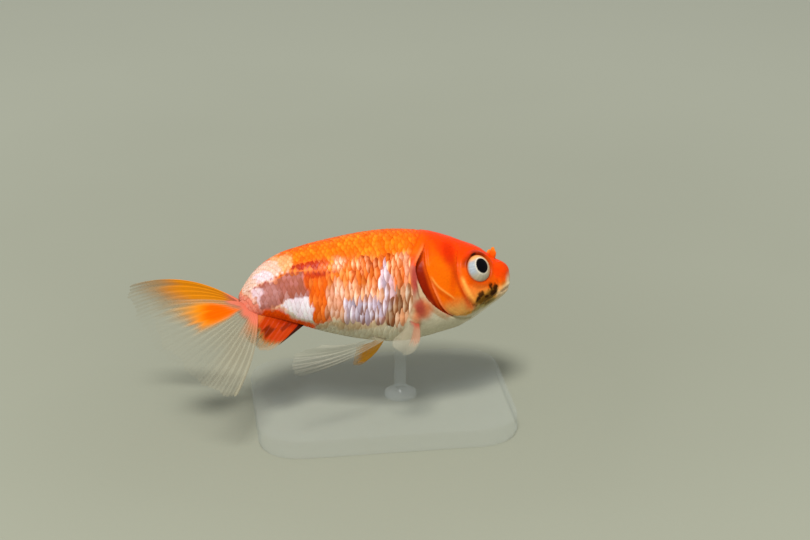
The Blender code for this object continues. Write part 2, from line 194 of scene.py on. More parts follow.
# x, back height, belly height, half width, widest level as a share of the depth, fullness
STATIONS = np.array([
    (-29.9, -0.8, -4.9, 1.5, 0.50, 2.0),
    (-28.6, 1.6, -5.2, 2.2, 0.50, 2.0),
    (-27.1, 3.8, -5.5, 3.0, 0.50, 2.0),
    (-24.9, 6.0, -5.7, 4.0, 0.50, 2.0),
    (-21.6, 8.2, -6.3, 5.2, 0.50, 2.0),
    (-16.0, 10.2, -7.8, 6.9, 0.48, 2.05),
    (-9.3, 11.9, -9.6, 8.3, 0.46, 2.1),
    (-2.7, 13.2, -10.9, 9.2, 0.45, 2.15),
    (4.0, 13.9, -11.5, 9.5, 0.45, 2.2),
    (9.6, 13.7, -10.8, 9.1, 0.46, 2.2),
    (15.1, 12.7, -9.4, 8.4, 0.46, 2.2),
    (19.6, 11.2, -8.0, 7.6, 0.47, 2.2),
    (23.6, 9.7, -5.7, 6.6, 0.48, 2.2),
    (26.3, 8.0, -3.8, 5.5, 0.48, 2.15),
    (28.4, 6.5, -2.3, 4.4, 0.48, 2.1),
    (29.9, 5.4, -1.1, 3.2, 0.48, 2.0),
    (30.8, 4.0, 0.4, 1.9, 0.50, 2.0),
    (31.1, 2.8, 1.6, 0.7, 0.50, 2.0),
])
STALK_EDGE = 2.4  # the stalk thins to an edge over this length, where the tail rays root

# Display colours from 0 to 255 and a second one that some scales lean to, then how silvery the
# surface is and how far the scales gape. A pigment row has all of these, the colours as light.
SILVER, GAPE = 6, 7  # their places in a row
PIGMENTS = {
    "back_orange": (238, 106, 2, 250, 140, 20, 0.05, 0.30),
    "back_edge": (240, 94, 0, 250, 124, 10, 0.0, 0.25),
    "nape_red": (252, 80, 0, 250, 104, 10, 0.0, 0.20),
    "flank_orange": (236, 120, 24, 252, 164, 86, 0.25, 0.60),
    "flank_peach": (246, 168, 116, 255, 200, 164, 0.45, 0.70),
    "finger_pink": (250, 180, 126, 252, 206, 190, 0.45, 0.80),
    "ember": (180, 40, 0, 204, 62, 0, 0.0, 0.15),
    "band_orange": (238, 98, 10, 252, 138, 56, 0.0, 0.35),
    "dusk": (168, 92, 70, 190, 116, 106, 0.10, 0.01),
    "lilac": (244, 210, 220, 255, 236, 242, 0.9, 0.12),
    "mother_of_pearl": (198, 182, 206, 248, 234, 248, 0.9, 1.00),
    "pink_bar": (234, 184, 186, 250, 218, 224, 0.8, 0.35),
    "silver": (252, 232, 246, 255, 252, 255, 1.0, 0.12),
    "cream": (230, 184, 156, 240, 204, 184, 0.35, 0.10),
    "peach": (246, 164, 104, 250, 184, 130, 0.20, 0.15),
    "shell_pink": (238, 160, 122, 250, 200, 172, 0.45, 0.60),
    "beige": (194, 168, 138, 222, 200, 174, 0.35, 1.20),
    "umber": (160, 122, 88, 206, 176, 146, 0.20, 1.30),
    "slashed": (232, 108, 18, 255, 198, 150, 0.35, 0.80),
    "salmon": (228, 130, 106, 238, 150, 128, 0.0, 0.02),
    "anal_red": (255, 96, 6, 236, 78, 2, 0.0, 0.02),
    "low_olive": (196, 160, 112, 206, 178, 138, 0.05, 0.10),
    "belly_white": (208, 198, 168, 216, 208, 182, 0.10, 0.10),
}

# The ground over the white belly: each pigment sets in between two shares of the body's depth.
GROUND = [("flank_peach", 0.13, 0.24), ("flank_orange", 0.34, 0.54), ("back_orange", 0.60, 0.74),
          ("back_edge", 0.93, 1.0)]
# Patches over the ground, in the side view: pigment, strength, edge softness and an outline.
MARKS = {
    -1: [
        ("flank_peach", 0.8, 0.8, [
            (-9.5, 2.6), (-3, 1.6), (6, 2.4), (7, -3), (0, -5), (-8, -6.6), (-11.5, -1)]),
        ("back_orange", 0.7, 1.0, [(-20, 8.6), (-8, 9.4), (-6, 6.4), (-12, 7.0), (-19, 6.4)]),
        ("peach", 0.9, 1.0, [(-23.5, 8.6), (-18.4, 8.4), (-17.6, 6.0), (-18.8, 4.4), (-23, 4.6)]),
        ("cream", 1.0, 0.8, [
            (-30, 1.2), (-27.6, 4.6), (-24.6, 7.4), (-21.4, 7.2), (-20.4, 5.0), (-22.6, 3.2), (-26, 1.2),
            (-27.4, -1.6), (-29.5, -0.8)]),
        ("lilac", 0.9, 0.5, [(-26.6, 3.4), (-24.8, 5.0), (-22.8, 4.2), (-23.2, 3.0), (-25.6, 2.0)]),
        ("dusk", 1.0, 0.2, [
            (-26.2, 1.2), (-22.5, 3.1), (-18.3, 4.2), (-15.4, 4.3), (-15.3, 2.0), (-14.4, -1.4),
            (-19, -1.9), (-21, -2.6), (-23.6, -4.2), (-25.6, -3.4), (-26.9, -1.2)]),
        ("lilac", 0.85, 0.6, [
            (-26.9, -1.6), (-26.6, 1.0), (-25.2, 0.9), (-24.6, -0.6), (-25.4, -2.0), (-24.9, -4.2),
            (-26.0, -3.4)]),
        ("salmon", 1.0, 0.5, [
            (-30.5, -0.8), (-27.4, -1.6), (-25.6, -3.4), (-23.2, -4.4), (-20.6, -3.2), (-19.0, -5.6),
            (-24, -6.5), (-30.5, -5.5)]),
        ("silver", 1.0, 0.15, [
            (-20.6, -2.7), (-18.8, -1.7), (-14.3, -1.3), (-13.6, -4.0), (-13.6, -6.3), (-16.4, -6.1),
            (-18.6, -4.4)]),
        ("band_orange", 1.0, 0.25, [
            (-16.2, 5.2), (-15.5, 2.0), (-14.4, -2.6), (-13.3, -6.6), (-9.2, -6.7), (-10.4, -3.9),
            (-11.5, 0.0), (-10.4, 3.0), (-9.2, 4.6), (-12.6, 6.0)]),
        ("lilac", 0.12, 1.6, [
            (-26.4, 0.6), (-23.0, 1.6), (-20.6, -0.4), (-21.4, -2.8), (-24.0, -4.0), (-26.6, -1.6)]),
        ("ember", 1.0, 0.3, [
            (-18.6, 4.7), (-18.0, 6.0), (-14.6, 6.9), (-11.4, 7.7), (-11.2, 6.5), (-14.5, 5.3),
            (-17.0, 4.5)]),
        ("ember", 0.95, 0.3, [(-16.4, 4.3), (-10.0, 5.1), (-9.6, 4.4), (-13.0, 3.6), (-15.6, 3.2)]),
        ("ember", 0.7, 0.5, [(-15.7, 3.6), (-14.6, 3.4), (-13.9, -2.0), (-14.8, -1.0)]),
        ("shell_pink", 0.65, 0.6, [(-9.8, 7.6), (-7.0, 7.8), (-6.9, 5.0), (-9.9, 4.8)]),
        ("slashed", 0.9, 1.4, [
            (-6.0, 6.8), (0.0, 7.4), (6.8, 8.8), (8.8, 8.0), (7.8, 1.8), (3.2, 1.6), (-6.0, 2.2)]),
        ("shell_pink", 0.8, 0.5, [
            (-11.0, 1.6), (-8.4, 2.4), (-6.9, 0.6), (-7.6, -4.6), (-9.4, -5.4), (-10.6, -2.4)]),
        ("finger_pink", 0.9, 0.3, [(-5.4, 1.8), (1.0, 1.6), (1.2, -2.2), (-5.2, -2.0)]),
        ("mother_of_pearl", 1.0, 0.25, [
            (-7.0, -1.8), (-2.8, -2.2), (1.0, -1.8), (0.8, 2.0), (1.0, 5.6), (3.1, 5.8), (3.4, 1.0),
            (4.0, -2.4), (2.2, -5.2), (-2.6, -6.6), (-6.6, -6.2)]),
        ("pink_bar", 0.85, 0.4, [
            (1.1, 5.2), (2.6, 5.4), (2.9, 1.0), (3.6, -2.4), (2.2, -2.4), (1.3, 1.5)]),
        ("shell_pink", 0.8, 0.6, [(5.8, 7.9), (7.8, 7.6), (8.2, 2.0), (6.4, 2.2)]),
        ("umber", 0.9, 0.3, [
            (3.4, -2.4), (4.4, 1.8), (5.6, 1.8), (5.8, -1.4), (6.6, -4.2), (3.4, -6.4), (2.2, -5.0)]),
        ("beige", 0.9, 0.3, [(5.4, 2.4), (7.2, 1.2), (8.4, -1.0), (8.2, -4.6), (5.6, -6.0), (6.2, -2.0)]),
        ("low_olive", 0.8, 0.8, [(-13, -6.9), (-6, -6.9), (2, -6.7), (2, -8.0), (-6, -8.4), (-13, -8.4)]),
        ("anal_red", 1.0, 0.6, [
            (-24.6, -3.9), (-22.0, -3.7), (-20.4, -4.4), (-18.6, -5.6), (-16.2, -6.5), (-13.6, -7.0),
            (-12.8, -9.5), (-20, -9.0), (-25.0, -6.5)]),
    ],
    1: [
        ("flank_peach", 0.8, 0.8, [
            (-10.5, 2.8), (-3, 2.0), (6, 2.6), (7, -3), (0, -5.4), (-8, -6.2), (-12, -1)]),
        ("shell_pink", 0.9, 0.5, [(-11.0, 3.6), (-7.0, 4.6), (-5.4, 0.6), (-8.0, -3.6), (-11.2, -1.4)]),
        ("mother_of_pearl", 1.0, 0.3, [
            (-8.0, -1.2), (-2.0, -0.6), (3.0, -1.6), (3.2, -4.6), (-3.0, -6.2), (-7.4, -5.0)]),
        ("band_orange", 1.0, 0.3, [(-1.4, 8.2), (3.6, 8.6), (4.6, 3.0), (1.6, 0.6), (-1.4, 3.4)]),
        ("cream", 0.9, 0.5, [(-29, -0.4), (-27.4, 4.2), (-23.0, 6.0), (-21.6, 0.4), (-26.0, -2.4)]),
        ("salmon", 1.0, 0.5, [(-30.5, -0.4), (-27.4, -1.2), (-24.6, -3.0), (-22.6, -5.8), (-30.5, -5.5)]),
        ("band_orange", 1.0, 0.3, [
            (-21.4, 5.4), (-14.6, 5.6), (-13.8, 0.4), (-17.0, -1.6), (-21.0, 0.4)]),
        ("silver", 1.0, 0.2, [(-16.0, -2.0), (-11.6, -1.6), (-10.2, -5.2), (-14.0, -5.6)]),
        ("dusk", 1.0, 0.3, [(-24.6, 1.6), (-20.4, 0.6), (-18.4, -2.0), (-21.0, -4.0), (-24.4, -2.6)]),
        ("beige", 0.9, 0.4, [(4.0, 2.2), (7.6, 1.8), (8.2, -5.0), (3.6, -6.4)]),
        ("slashed", 0.9, 0.9, [
            (-5.0, 7.8), (2.0, 8.6), (6.8, 9.6), (8.4, 8.2), (7.6, 2.0), (4.0, 1.8), (-4.6, 3.6)]),
        ("anal_red", 1.0, 0.6, [
            (-24.6, -4.4), (-20.6, -4.6), (-16.2, -6.7), (-13.6, -7.2), (-12.8, -9.5), (-20, -9.0),
            (-25.0, -6.5)]),
    ],
}


def smooth_step(low, high, value):
    """0 up to low and 1 from high, with a soft run between. It falls where low is over high."""
    t = np.clip((np.asarray(value, float) - low) / (high - low), 0.0, 1.0)
    return t * t * (3 - 2 * t)


def smooth_through(rows, where):
    """Rows of numbers read along a smooth curve that passes through each of them. where runs
    from 0, the first row, to 1, the last, in proportion to the distance between rows."""
    rows = np.asarray(rows, float)
    steps = np.linalg.norm(np.diff(rows[:, :3], axis=0), axis=1)
    knots = np.concatenate([[0.0], np.cumsum(steps)]) / steps.sum()
    slopes = np.gradient(rows, knots, axis=0)
    where = np.clip(np.atleast_1d(where), 0.0, 1.0)
    left = np.clip(np.searchsorted(knots, where, side="right") - 1, 0, len(knots) - 2)
    width = (knots[left + 1] - knots[left])[:, None]
    t = ((where - knots[left]) / width[:, 0])[:, None]
    return (
        rows[left] * (1 + 2 * t) * (1 - t) ** 2
        + slopes[left] * width * t * (1 - t) ** 2
        + rows[left + 1] * t * t * (3 - 2 * t)
        + slopes[left + 1] * width * t * t * (t - 1)
    )


def body_point(along, around):
    """Points on the body, from a share of its length and an angle from the back by the right."""
    along, around = np.broadcast_arrays(along, around)
    x, top, bottom, half, level, fullness = smooth_through(STATIONS, along.ravel()).T
    half = half * np.sqrt(np.clip((x - STATIONS[0, 0] + 0.15) / STALK_EDGE, 0.03, 1.0))
    middle = bottom + level * (top - bottom)
    side, up = np.sin(around.ravel()), np.cos(around.ravel())
    y = -half * np.sign(side) * np.abs(side) ** (2 / fullness)
    reach = np.where(up > 0, top - middle, middle - bottom)
    z = middle + reach * np.sign(up) * np.abs(up) ** (2 / fullness)
    return np.stack([x, y, z], axis=-1).reshape(*along.shape, 3)


station_curve = smooth_through(STATIONS, np.linspace(0, 1, 2000))
STATION_X, STATION_SHARE = station_curve[:, 0], np.linspace(0, 1, 2000)


def body_normal(along, around):
    """Outward normals, from points a small step apart along the body and round it."""
    step, turn = 0.003, 0.03
    ahead = body_point(np.clip(along + step, 0, 1), around)
    ahead = ahead - body_point(np.clip(along - step, 0, 1), around)
    across = body_point(along, around + turn) - body_point(along, around - turn)
    normal = np.cross(across, ahead)
    return normal / np.linalg.norm(normal, axis=-1, keepdims=True)


def soft_noise(points, size, seed):
    """Smooth noise from -1 to 1, with blobs of that size in millimetres."""
    cells, clear_of_zero = 24, 500.0
    table = np.random.default_rng(seed).uniform(-1, 1, (cells, cells, cells))
    place = np.asarray(points, float) / size + clear_of_zero
    corner = np.floor(place).astype(int)
    part = place - corner
    part = part * part * (3 - 2 * part)
    total = np.zeros(place.shape[:-1])
    for step in np.ndindex(2, 2, 2):
        weight = np.prod(np.where(step, part, 1 - part), axis=-1)
        i, j, k = np.moveaxis((corner + step) % cells, -1, 0)
        total += weight * table[i, j, k]
    return total


def light_value(colour):
    """Display colours from 0 to 255 as linear light."""
    share = np.asarray(colour, float) / 255
    return np.where(share <= 0.04045, share / 12.92, ((share + 0.055) / 1.055) ** 2.4)


def pigment(name):
    row = PIGMENTS[name]
    return np.concatenate([light_value(row[:3]), light_value(row[3:6]), row[6:]])


def mixed(base, other, share):
    return base + (other - base) * np.asarray(share)[..., None]


def oval(x, z, centre_x, centre_z, half_length, half_height, tilt_deg=0.0, softness=0.5):
    """1 inside a tilted oval and 0 outside, with a soft edge."""
    turn = math.radians(tilt_deg)
    dx, dz = x - centre_x, z - centre_z
    u = (dx * math.cos(turn) + dz * math.sin(turn)) / half_length
    v = (-dx * math.sin(turn) + dz * math.cos(turn)) / half_height
    return 1 - smooth_step(1 - softness / 2, 1 + softness / 2, np.hypot(u, v))


def inside_outline(x, z, outline):
    """True for the points inside a closed outline."""
    inside = np.zeros(x.shape, bool)
    for (x0, z0), (x1, z1) in zip(outline, np.roll(outline, -1, axis=0)):
        crosses = (z0 > z) != (z1 > z)
        rise = np.where(z1 == z0, 1e-9, z1 - z0)
        inside ^= crosses & (x < x0 + (z - z0) / rise * (x1 - x0))
    return inside


def patch(x, z, outline, softness):
    """1 inside an outline and 0 outside, with a soft edge of that width."""
    outline = np.asarray(outline, float)
    low, high = outline.min(axis=0) - softness, outline.max(axis=0) + softness
    near = (x > low[0]) & (x < high[0]) & (z > low[1]) & (z < high[1])
    near_x, near_z = x[near], z[near]
    gap = np.full(near_x.shape, FAR)
    for (x0, z0), (x1, z1) in zip(outline, np.roll(outline, -1, axis=0)):
        step_x, step_z = x1 - x0, z1 - z0
        t = np.clip(((near_x - x0) * step_x + (near_z - z0) * step_z) / (step_x**2 + step_z**2), 0, 1)
        gap = np.minimum(gap, np.hypot(near_x - x0 - t * step_x, near_z - z0 - t * step_z))
    signed = np.where(inside_outline(near_x, near_z, outline), gap, -gap)
    share = np.zeros(x.shape)
    share[near] = smooth_step(-softness / 2, softness / 2, signed)
    return share


def body_paint(points):
    """Pigment rows for points on trunk and stalk, from belly to back and under the marks."""
    x, y, z = np.moveaxis(points, -1, 0)
    wander_x = 0.85 * soft_noise(points, 2.4, 3) + 0.35 * soft_noise(points, 1.0, 4)
    wander_z = 0.65 * soft_noise(points, 2.4, 5) + 0.30 * soft_noise(points, 1.0, 6)
    top = np.interp(x, STATIONS[:, 0], STATIONS[:, 1])
    bottom = np.interp(x, STATIONS[:, 0], STATIONS[:, 2])
    height = (z + 1.4 * wander_z - bottom) / (top - bottom)
    rows = np.ones((*x.shape, 1)) * pigment("belly_white")
    for name, low, high in GROUND:
        rows = mixed(rows, pigment(name), smooth_step(low, high, height))
    nape = smooth_step(6.5, 11.5, x + 0.3 * (z - 9)) * smooth_step(0.62, 0.78, height)
    rows = mixed(rows, pigment("nape_red"), nape)
    for side in MARKS:
        for name, strength, softness, outline in MARKS[side]:
            share = patch(x + wander_x, z + wander_z, outline, softness)
            rows = mixed(rows, pigment(name), strength * share * (y * side > 0))
    return rows


def mirrored(place, side=1):
    """A place on the right side, or its mirror image on the left."""
    return np.asarray(place, float) * (1, -side, 1)


def link_paint(tree, name="paint"):
    node = tree.nodes.new("ShaderNodeAttribute")
    node.attribute_name = name
    return node


def fish_mesh(name, points, faces, material, paint, values=None):
    """A mesh object in the fish's pose, from points in millimetres, with its paint and masks."""
    mesh = bpy.data.meshes.new(name)
    mesh.from_pydata((np.asarray(points) * MM).tolist(), [], faces)
    mesh.shade_smooth()
    mesh.materials.append(material)
    colours = mesh.color_attributes.new("paint", "FLOAT_COLOR", "POINT")
    full = np.column_stack([np.clip(paint, 0, 1), np.ones(len(paint))])
    colours.data.foreach_set("color", full.astype(np.float32).ravel())
    for key, numbers in (values or {}).items():
        mask = mesh.attributes.new(key, "FLOAT", "POINT")
        mask.data.foreach_set("value", np.asarray(numbers, np.float32).ravel())
    piece = bpy.data.objects.new(name, mesh)
    bpy.context.scene.collection.objects.link(piece)
    piece.matrix_world = fish_pose
    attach(piece, "root")
    return piece


# ---- Skin -----------------------------------------------------------------------------------
# One seamless cast skin from lips to tail stalk, bare on the head, the gill covers and behind
# them, and sunk by the depth of the scales on the rest. The folds of the head are worked into
# it: the lips, the rims of the eyes, the cheek fold, the gill cover's edges and the red gill slit.

SCALE_DEPTH = 0.30
HEAD_START = 5.5  # forward of here the rings lie closer, for the folds
BODY_RINGS, HEAD_RINGS, SKIN_SIDES = 120, 230, 400
# Painted shade: the skin below the scales is darkened, for the shade in the gaps between them.
UNDER_SCALES_SHADE = (0.40, 0.24, 0.16)  # how much darker the skin is below the scales

# Lines of the head in the side view, x and z, each from its top or its rear end.
HEAD_LINES = {
    "slit": [(11.0, 10.8), (10.4, 9.4), (9.4, 7.6), (8.6, 6.0), (8.4, 4.5), (8.7, 3.0), (9.7, 0.3),
             (11.2, -2.0), (13.2, -3.8), (15.2, -5.0), (17.3, -5.9)],
    "edge": [(11.1, 10.9), (10.8, 9.4), (10.7, 7.4), (10.9, 5.0), (11.5, 3.0), (12.2, 0.9),
             (13.2, -1.4), (14.4, -3.5), (15.8, -4.9), (17.4, -5.8)],
    "opercle": [(11.4, 3.5), (12.3, 2.0), (13.3, 0.8), (14.9, -0.4), (16.4, -1.4), (17.6, -2.3)],
    "cheek": [(18.2, 8.8), (17.8, 6.3), (17.7, 4.4), (17.9, 2.9), (18.3, 1.5), (19.0, 0.0),
              (19.9, -1.5), (21.0, -3.0), (22.1, -4.3)],
    "throat": [(15.6, -5.2), (17.2, -5.8), (18.9, -6.3), (20.5, -6.4), (22.0, -6.0)],
    "jaw": [(28.2, -0.3), (26.7, -1.5), (25.0, -2.3), (23.7, -4.0), (23.2, -5.4)],
    "lip": [(27.3, 2.4), (27.9, 1.1), (27.5, -0.5), (26.8, -1.5)],
    "mouth": [(28.3, -0.4), (29.4, 0.1), (30.3, 0.6), (31.6, 1.0)],
}
COVER_TOP = (14.0, 11.4)
# Front edge of the scaled skin: x at each height.
COAT_EDGE_Z = [-11.5, -9.0, -6.0, -3.5, -1.0, 2.0, 5.0, 7.6, 9.2, 11.2, 13.6]
COAT_EDGE_X = [6.4, 6.2, 6.8, 7.8, 7.8, 7.4, 7.2, 7.5, 8.4, 9.6, 10.8]

# Folds along those lines: height, line, how far before it, half width, and the shares of the
# line over which the fold rises and fades.
HEAD_FOLDS = [
    (0.08, "opercle", 0.2, 0.35, 0.2, 0.2),
    (-0.10, "opercle", -0.4, 0.40, 0.2, 0.2),
    (-0.30, "cheek", -0.25, 0.70, 0.35, 0.15),
    (-0.22, "lip", 0.0, 0.22, 0.2, 0.2),
    (0.14, "lip", 0.6, 0.50, 0.3, 0.3),
    (-0.20, "jaw", 0.0, 0.26, 0.2, 0.2),
    (-0.24, "throat", 0.0, 0.24, 0.2, 0.2),
]
# Pads and pits of flesh: height, then an oval.
HEAD_PADS = [
    (0.22, 20.6, 0.4, 2.6, 2.4, -30, 1.4),  # cheek
    (0.34, 29.1, 4.7, 1.7, 1.3, -35, 1.4),  # snout
    (0.20, 27.6, 5.6, 1.1, 1.0, 0, 1.5),
    (-0.40, 27.7, 6.5, 0.55, 0.40, -30, 0.9),  # nostril
    (0.12, 26.6, 7.2, 0.9, 0.6, -30, 1.2),
    (0.40, 9.6, -4.4, 1.9, 2.4, 18, 1.5),  # fleshy root of the pectoral fin
    (0.45, 8.4, -6.4, 1.0, 1.2, 18, 1.4),
]
SNOUT_TIP = (0.38, 29.3, 5.4, 1.4, 1.2, -38, 1.7)

EYE_CENTRE = np.array([22.5, -5.15, 4.55])
EYE_RADIUS, EYE_DEPTH = 3.35, 2.7
EYE_FORWARD_DEG, EYE_UP_DEG = 24.0, 12.0
EYE_SHOWN = 3.05  # radius of the ball's part that the rim leaves open
RIM_REACH = 4.6  # the skin bends up to the rim from this far

# Some of these colours are painted light: the dark reds and browns in the folds, in the gill cover's
# hollow, round the eyes and in the gill slit are painted shade, and the pale rims of the slit and of the
# gill cover and the jaw's pale lower edge are painted highlights, the slit's lower rim partly its own
# pale colour. The cheek colour is also laid as a painted highlight on ridges, and the olive as painted
# shade in the throat's groove.
HEAD_PAINT = {
    "crown": (248, 64, 0), "nape": (246, 108, 4), "face": (240, 92, 0), "cover": (236, 102, 0),
    "cover_shade": (206, 40, 0), "cover_low": (210, 150, 74), "cheek": (255, 172, 76),
    "cheek_low": (216, 152, 60), "throat": (204, 196, 168), "fold_shade_red": (188, 58, 2),
    "fold_end": (206, 92, 34), "jaw_edge_highlight": (230, 222, 200), "slit": (138, 28, 0),
    "slit_edge": (222, 82, 4), "slit_shade": (104, 20, 0), "rim_highlight": (250, 132, 72),
    "rim_pale_highlight": (194, 164, 128), "bare_pink": (202, 102, 76), "bare_purple": (168, 66, 58),
    "bare_beige": (172, 152, 120), "lobe": (160, 62, 50), "lobe_front": (206, 106, 56),
    "lobe_tail": (206, 140, 92), "lip": (224, 202, 166), "snout": (246, 68, 0),
    "smudge": (44, 14, 0), "smudge_soft": (94, 62, 8), "jaw_olive": (168, 150, 92),
    "rim_shade": (196, 76, 8), "brow_shade": (128, 30, 0), "brow_mark": (40, 12, 4),
    "olive": (160, 146, 104),
}
# Black pigment before the jaw: soft clouds, then the spots in them, as ovals without softness.
SMUDGE_CLOUDS = [(24.4, -1.5, 2.3, 0.9, 18), (26.4, -0.3, 1.0, 1.5, 0), (24.4, -2.4, 2.2, 0.7, 12)]
SMUDGE_SPOTS = [(25.8, 0.8, 0.45, 0.85, 10), (26.9, 0.3, 0.4, 1.1, 5), (26.3, -0.6, 0.9, 0.55, 20),
                (23.4, -0.9, 0.75, 0.5, -10), (22.9, -1.7, 0.6, 0.45, 20),
                (24.9, -1.4, 0.5, 0.35, 0)]


def curve_distance(x, z, curve, count=48):
    """Distance from each point to an open curve, positive to its front side, and the share of
    the curve's length at the nearest point."""
    line = smooth_through(curve, np.linspace(0, 1, count))
    best = np.full(x.shape, FAR)
    sign, share = np.ones(x.shape), np.zeros(x.shape)
    for k, (start, step) in enumerate(zip(line[:-1], np.diff(line, axis=0))):
        dx, dz = x - start[0], z - start[1]
        t = np.clip((dx * step[0] + dz * step[1]) / (step @ step), 0, 1)
        gap = np.hypot(dx - t * step[0], dz - t * step[1])
        nearer = gap < best
        best = np.where(nearer, gap, best)
        sign = np.where(nearer, np.where(step[0] * dz > step[1] * dx, 1.0, -1.0), sign)
        share = np.where(nearer, (k + t) / (count - 1), share)
    return best * sign, share


def line_mask(gap, width):
    return np.exp(-(gap / width) ** 2)


def open_ends(share, start=0.06, end=0.06):
    """Fades a line out at its two ends."""
    return smooth_step(0, start, share) * smooth_step(1, 1 - end, share)


def eye_axes(side):
    """Centre of an eye and its axes: rearwards, upwards and outwards."""
    forward, up = math.radians(EYE_FORWARD_DEG), math.radians(EYE_UP_DEG)
    out = np.array([math.sin(forward), side * math.cos(forward) * math.cos(up), math.sin(up)])
    out /= np.linalg.norm(out)
    rearwards = np.cross((0, 0, 1), out) * side
    rearwards /= np.linalg.norm(rearwards)
    return mirrored(EYE_CENTRE, side), rearwards, np.cross(rearwards, out) * -side, out


def coat_edge(z):
    return np.interp(z, COAT_EDGE_Z, COAT_EDGE_X)


def coat_share(points):
    """0 on bare skin, 1 where the scales lie on it in full depth."""
    return smooth_step(-0.6, 0.9, coat_edge(points[..., 2]) - points[..., 0])


class HeadMap:
    """Where each point of the skin lies among the lines of the head."""

    def __init__(self, points):
        self.points = points
        self.x, self.z = x, z = points[:, 0], points[:, 2]
        self.wander = 0.5 * soft_noise(points, 2.0, 31) + 0.3 * soft_noise(points, 0.8, 32)
        self.level = z + self.wander
        self.gap, self.share = {}, {}
        for name, curve in HEAD_LINES.items():
            self.gap[name], self.share[name] = curve_distance(x, z, curve)
        self.slit_gap, self.edge_gap = np.abs(self.gap["slit"]), np.abs(self.gap["edge"])
        slit, edge, cheek = (smooth_through(HEAD_LINES[name], np.linspace(0, 1, 40))
                             for name in ("slit", "edge", "cheek"))
        self.in_slit = inside_outline(x, z, np.vstack([slit, edge[::-1]]))
        self.on_cover = inside_outline(x, z, np.vstack([edge, cheek[::-1], [COVER_TOP]]))
        self.behind = ~self.in_slit & ~self.on_cover & (x < 18)
        self.bare = (1 - coat_share(points)) * (x < 20)

    def ridge(self, name, before, width, start=0.06, end=0.06):
        """1 along a line, or that far before it, faded out to its sides and its ends."""
        return line_mask(self.gap[name] - before, width) * open_ends(self.share[name], start, end)


def head_relief(head, normals):
    """Height of the head's folds over the plain form, in millimetres."""
    x, z, slit_gap, edge_gap = head.x, head.z, head.slit_gap, head.edge_gap
    # the gill cover's edge stands proud of the red slit, which sinks towards the skin's rim
    height = 0.26 * head.on_cover * smooth_step(0.0, 0.7, edge_gap)
    depth = 0.62 - 0.30 * smooth_step(0.2, 2.0, slit_gap)
    soften = 0.28 + 0.8 * smooth_step(4.0, 8.0, z)
    height -= depth * smooth_step(0.0, soften, slit_gap) * smooth_step(0.0, 0.30, edge_gap) * head.in_slit
    rim = line_mask(slit_gap - 0.3, 0.8) * open_ends(head.share["slit"], 0.15, 0.2)
    height += 0.20 * rim * head.behind
    # a soft pad of the cheek laps over the groove before the gill cover
    lap = 0.32 - 0.20 * smooth_step(2.0, 5.0, z)
    height += lap * head.ridge("cheek", 1.1, 0.85, 0.35, 0.15)
    # the mouth is a cleft between two lips
    mouth = head.gap["mouth"]
    height -= 0.30 * line_mask(mouth, 0.16) * smooth_step(0.0, 0.12, head.share["mouth"])
    height += 0.20 * line_mask(np.abs(mouth) - 0.55, 0.38) * smooth_step(27.6, 28.6, x)
    for rise, *place in HEAD_FOLDS:
        height += rise * head.ridge(*place)
    for rise, *place in HEAD_PADS:
        height += rise * oval(x, z, *place)
    height *= smooth_step(0.12, 0.5, np.abs(normals[:, 1]))
    height += SNOUT_TIP[0] * oval(x, z, *SNOUT_TIP[1:])
    # low unevenness of the flesh
    return height + 0.045 * soft_noise(head.points, 1.6, 21) + 0.022 * soft_noise(head.points, 0.6, 22)


def rim_profile(radius):
    """Height of the skin over an eye's middle plane, from inside the ball to the rim's crest."""
    ball = EYE_DEPTH * np.sqrt(np.clip(1 - (radius / EYE_RADIUS) ** 2, 0, 1))
    shown = EYE_DEPTH * math.sqrt(1 - (EYE_SHOWN / EYE_RADIUS) ** 2)
    under = ball - 0.40
    crest = shown + 0.10 + 0.26 * smooth_step(EYE_SHOWN, EYE_SHOWN + 0.45, radius)
    return under + (crest - under) * smooth_step(EYE_SHOWN - 0.12, EYE_SHOWN + 0.06, radius)


def raise_eye_rims(points):
    """Moves the skin along each eye's axis to the rim that holds the ball."""
    placed = points.copy()
    for side in (-1, 1):
        centre, rearwards, upwards, out = eye_axes(side)
        offset = points - centre
        height = offset @ out
        radius = np.hypot(offset @ rearwards, offset @ upwards)
        near = (radius < RIM_REACH) & (height > -1.0) & (points[:, 1] * side > 0)
        blend = smooth_step(EYE_SHOWN + 0.35, RIM_REACH, radius)
        wanted = rim_profile(radius) * (1 - blend) + height * blend
        placed += np.where(near, wanted - height, 0.0)[:, None] * out
    return placed


def lay_over(colours, paints, layers):
    """Colours under layers of named paint, each with its share from 0 to 1."""
    for name, share in layers:
        colours = mixed(colours, light_value(paints[name]), np.clip(share, 0, 1))
    return colours


def bare_layers(head):
    """The naked skin between the scales and the gill slit."""
    x, level = head.x, head.level
    return [
        ("bare_pink", np.ones(len(x))),
        ("bare_beige", smooth_step(2.5, -1.5, level)),
        ("bare_purple", 0.9 * oval(x, head.z, 8.1, 2.4, 0.8, 3.8, -4, 1.2)),
        ("crown", smooth_step(5.0, 7.0, level + 0.8 * (x - 8))),
        ("throat", smooth_step(-4.0, -6.0, level - 0.5 * (x - 9))),
    ]


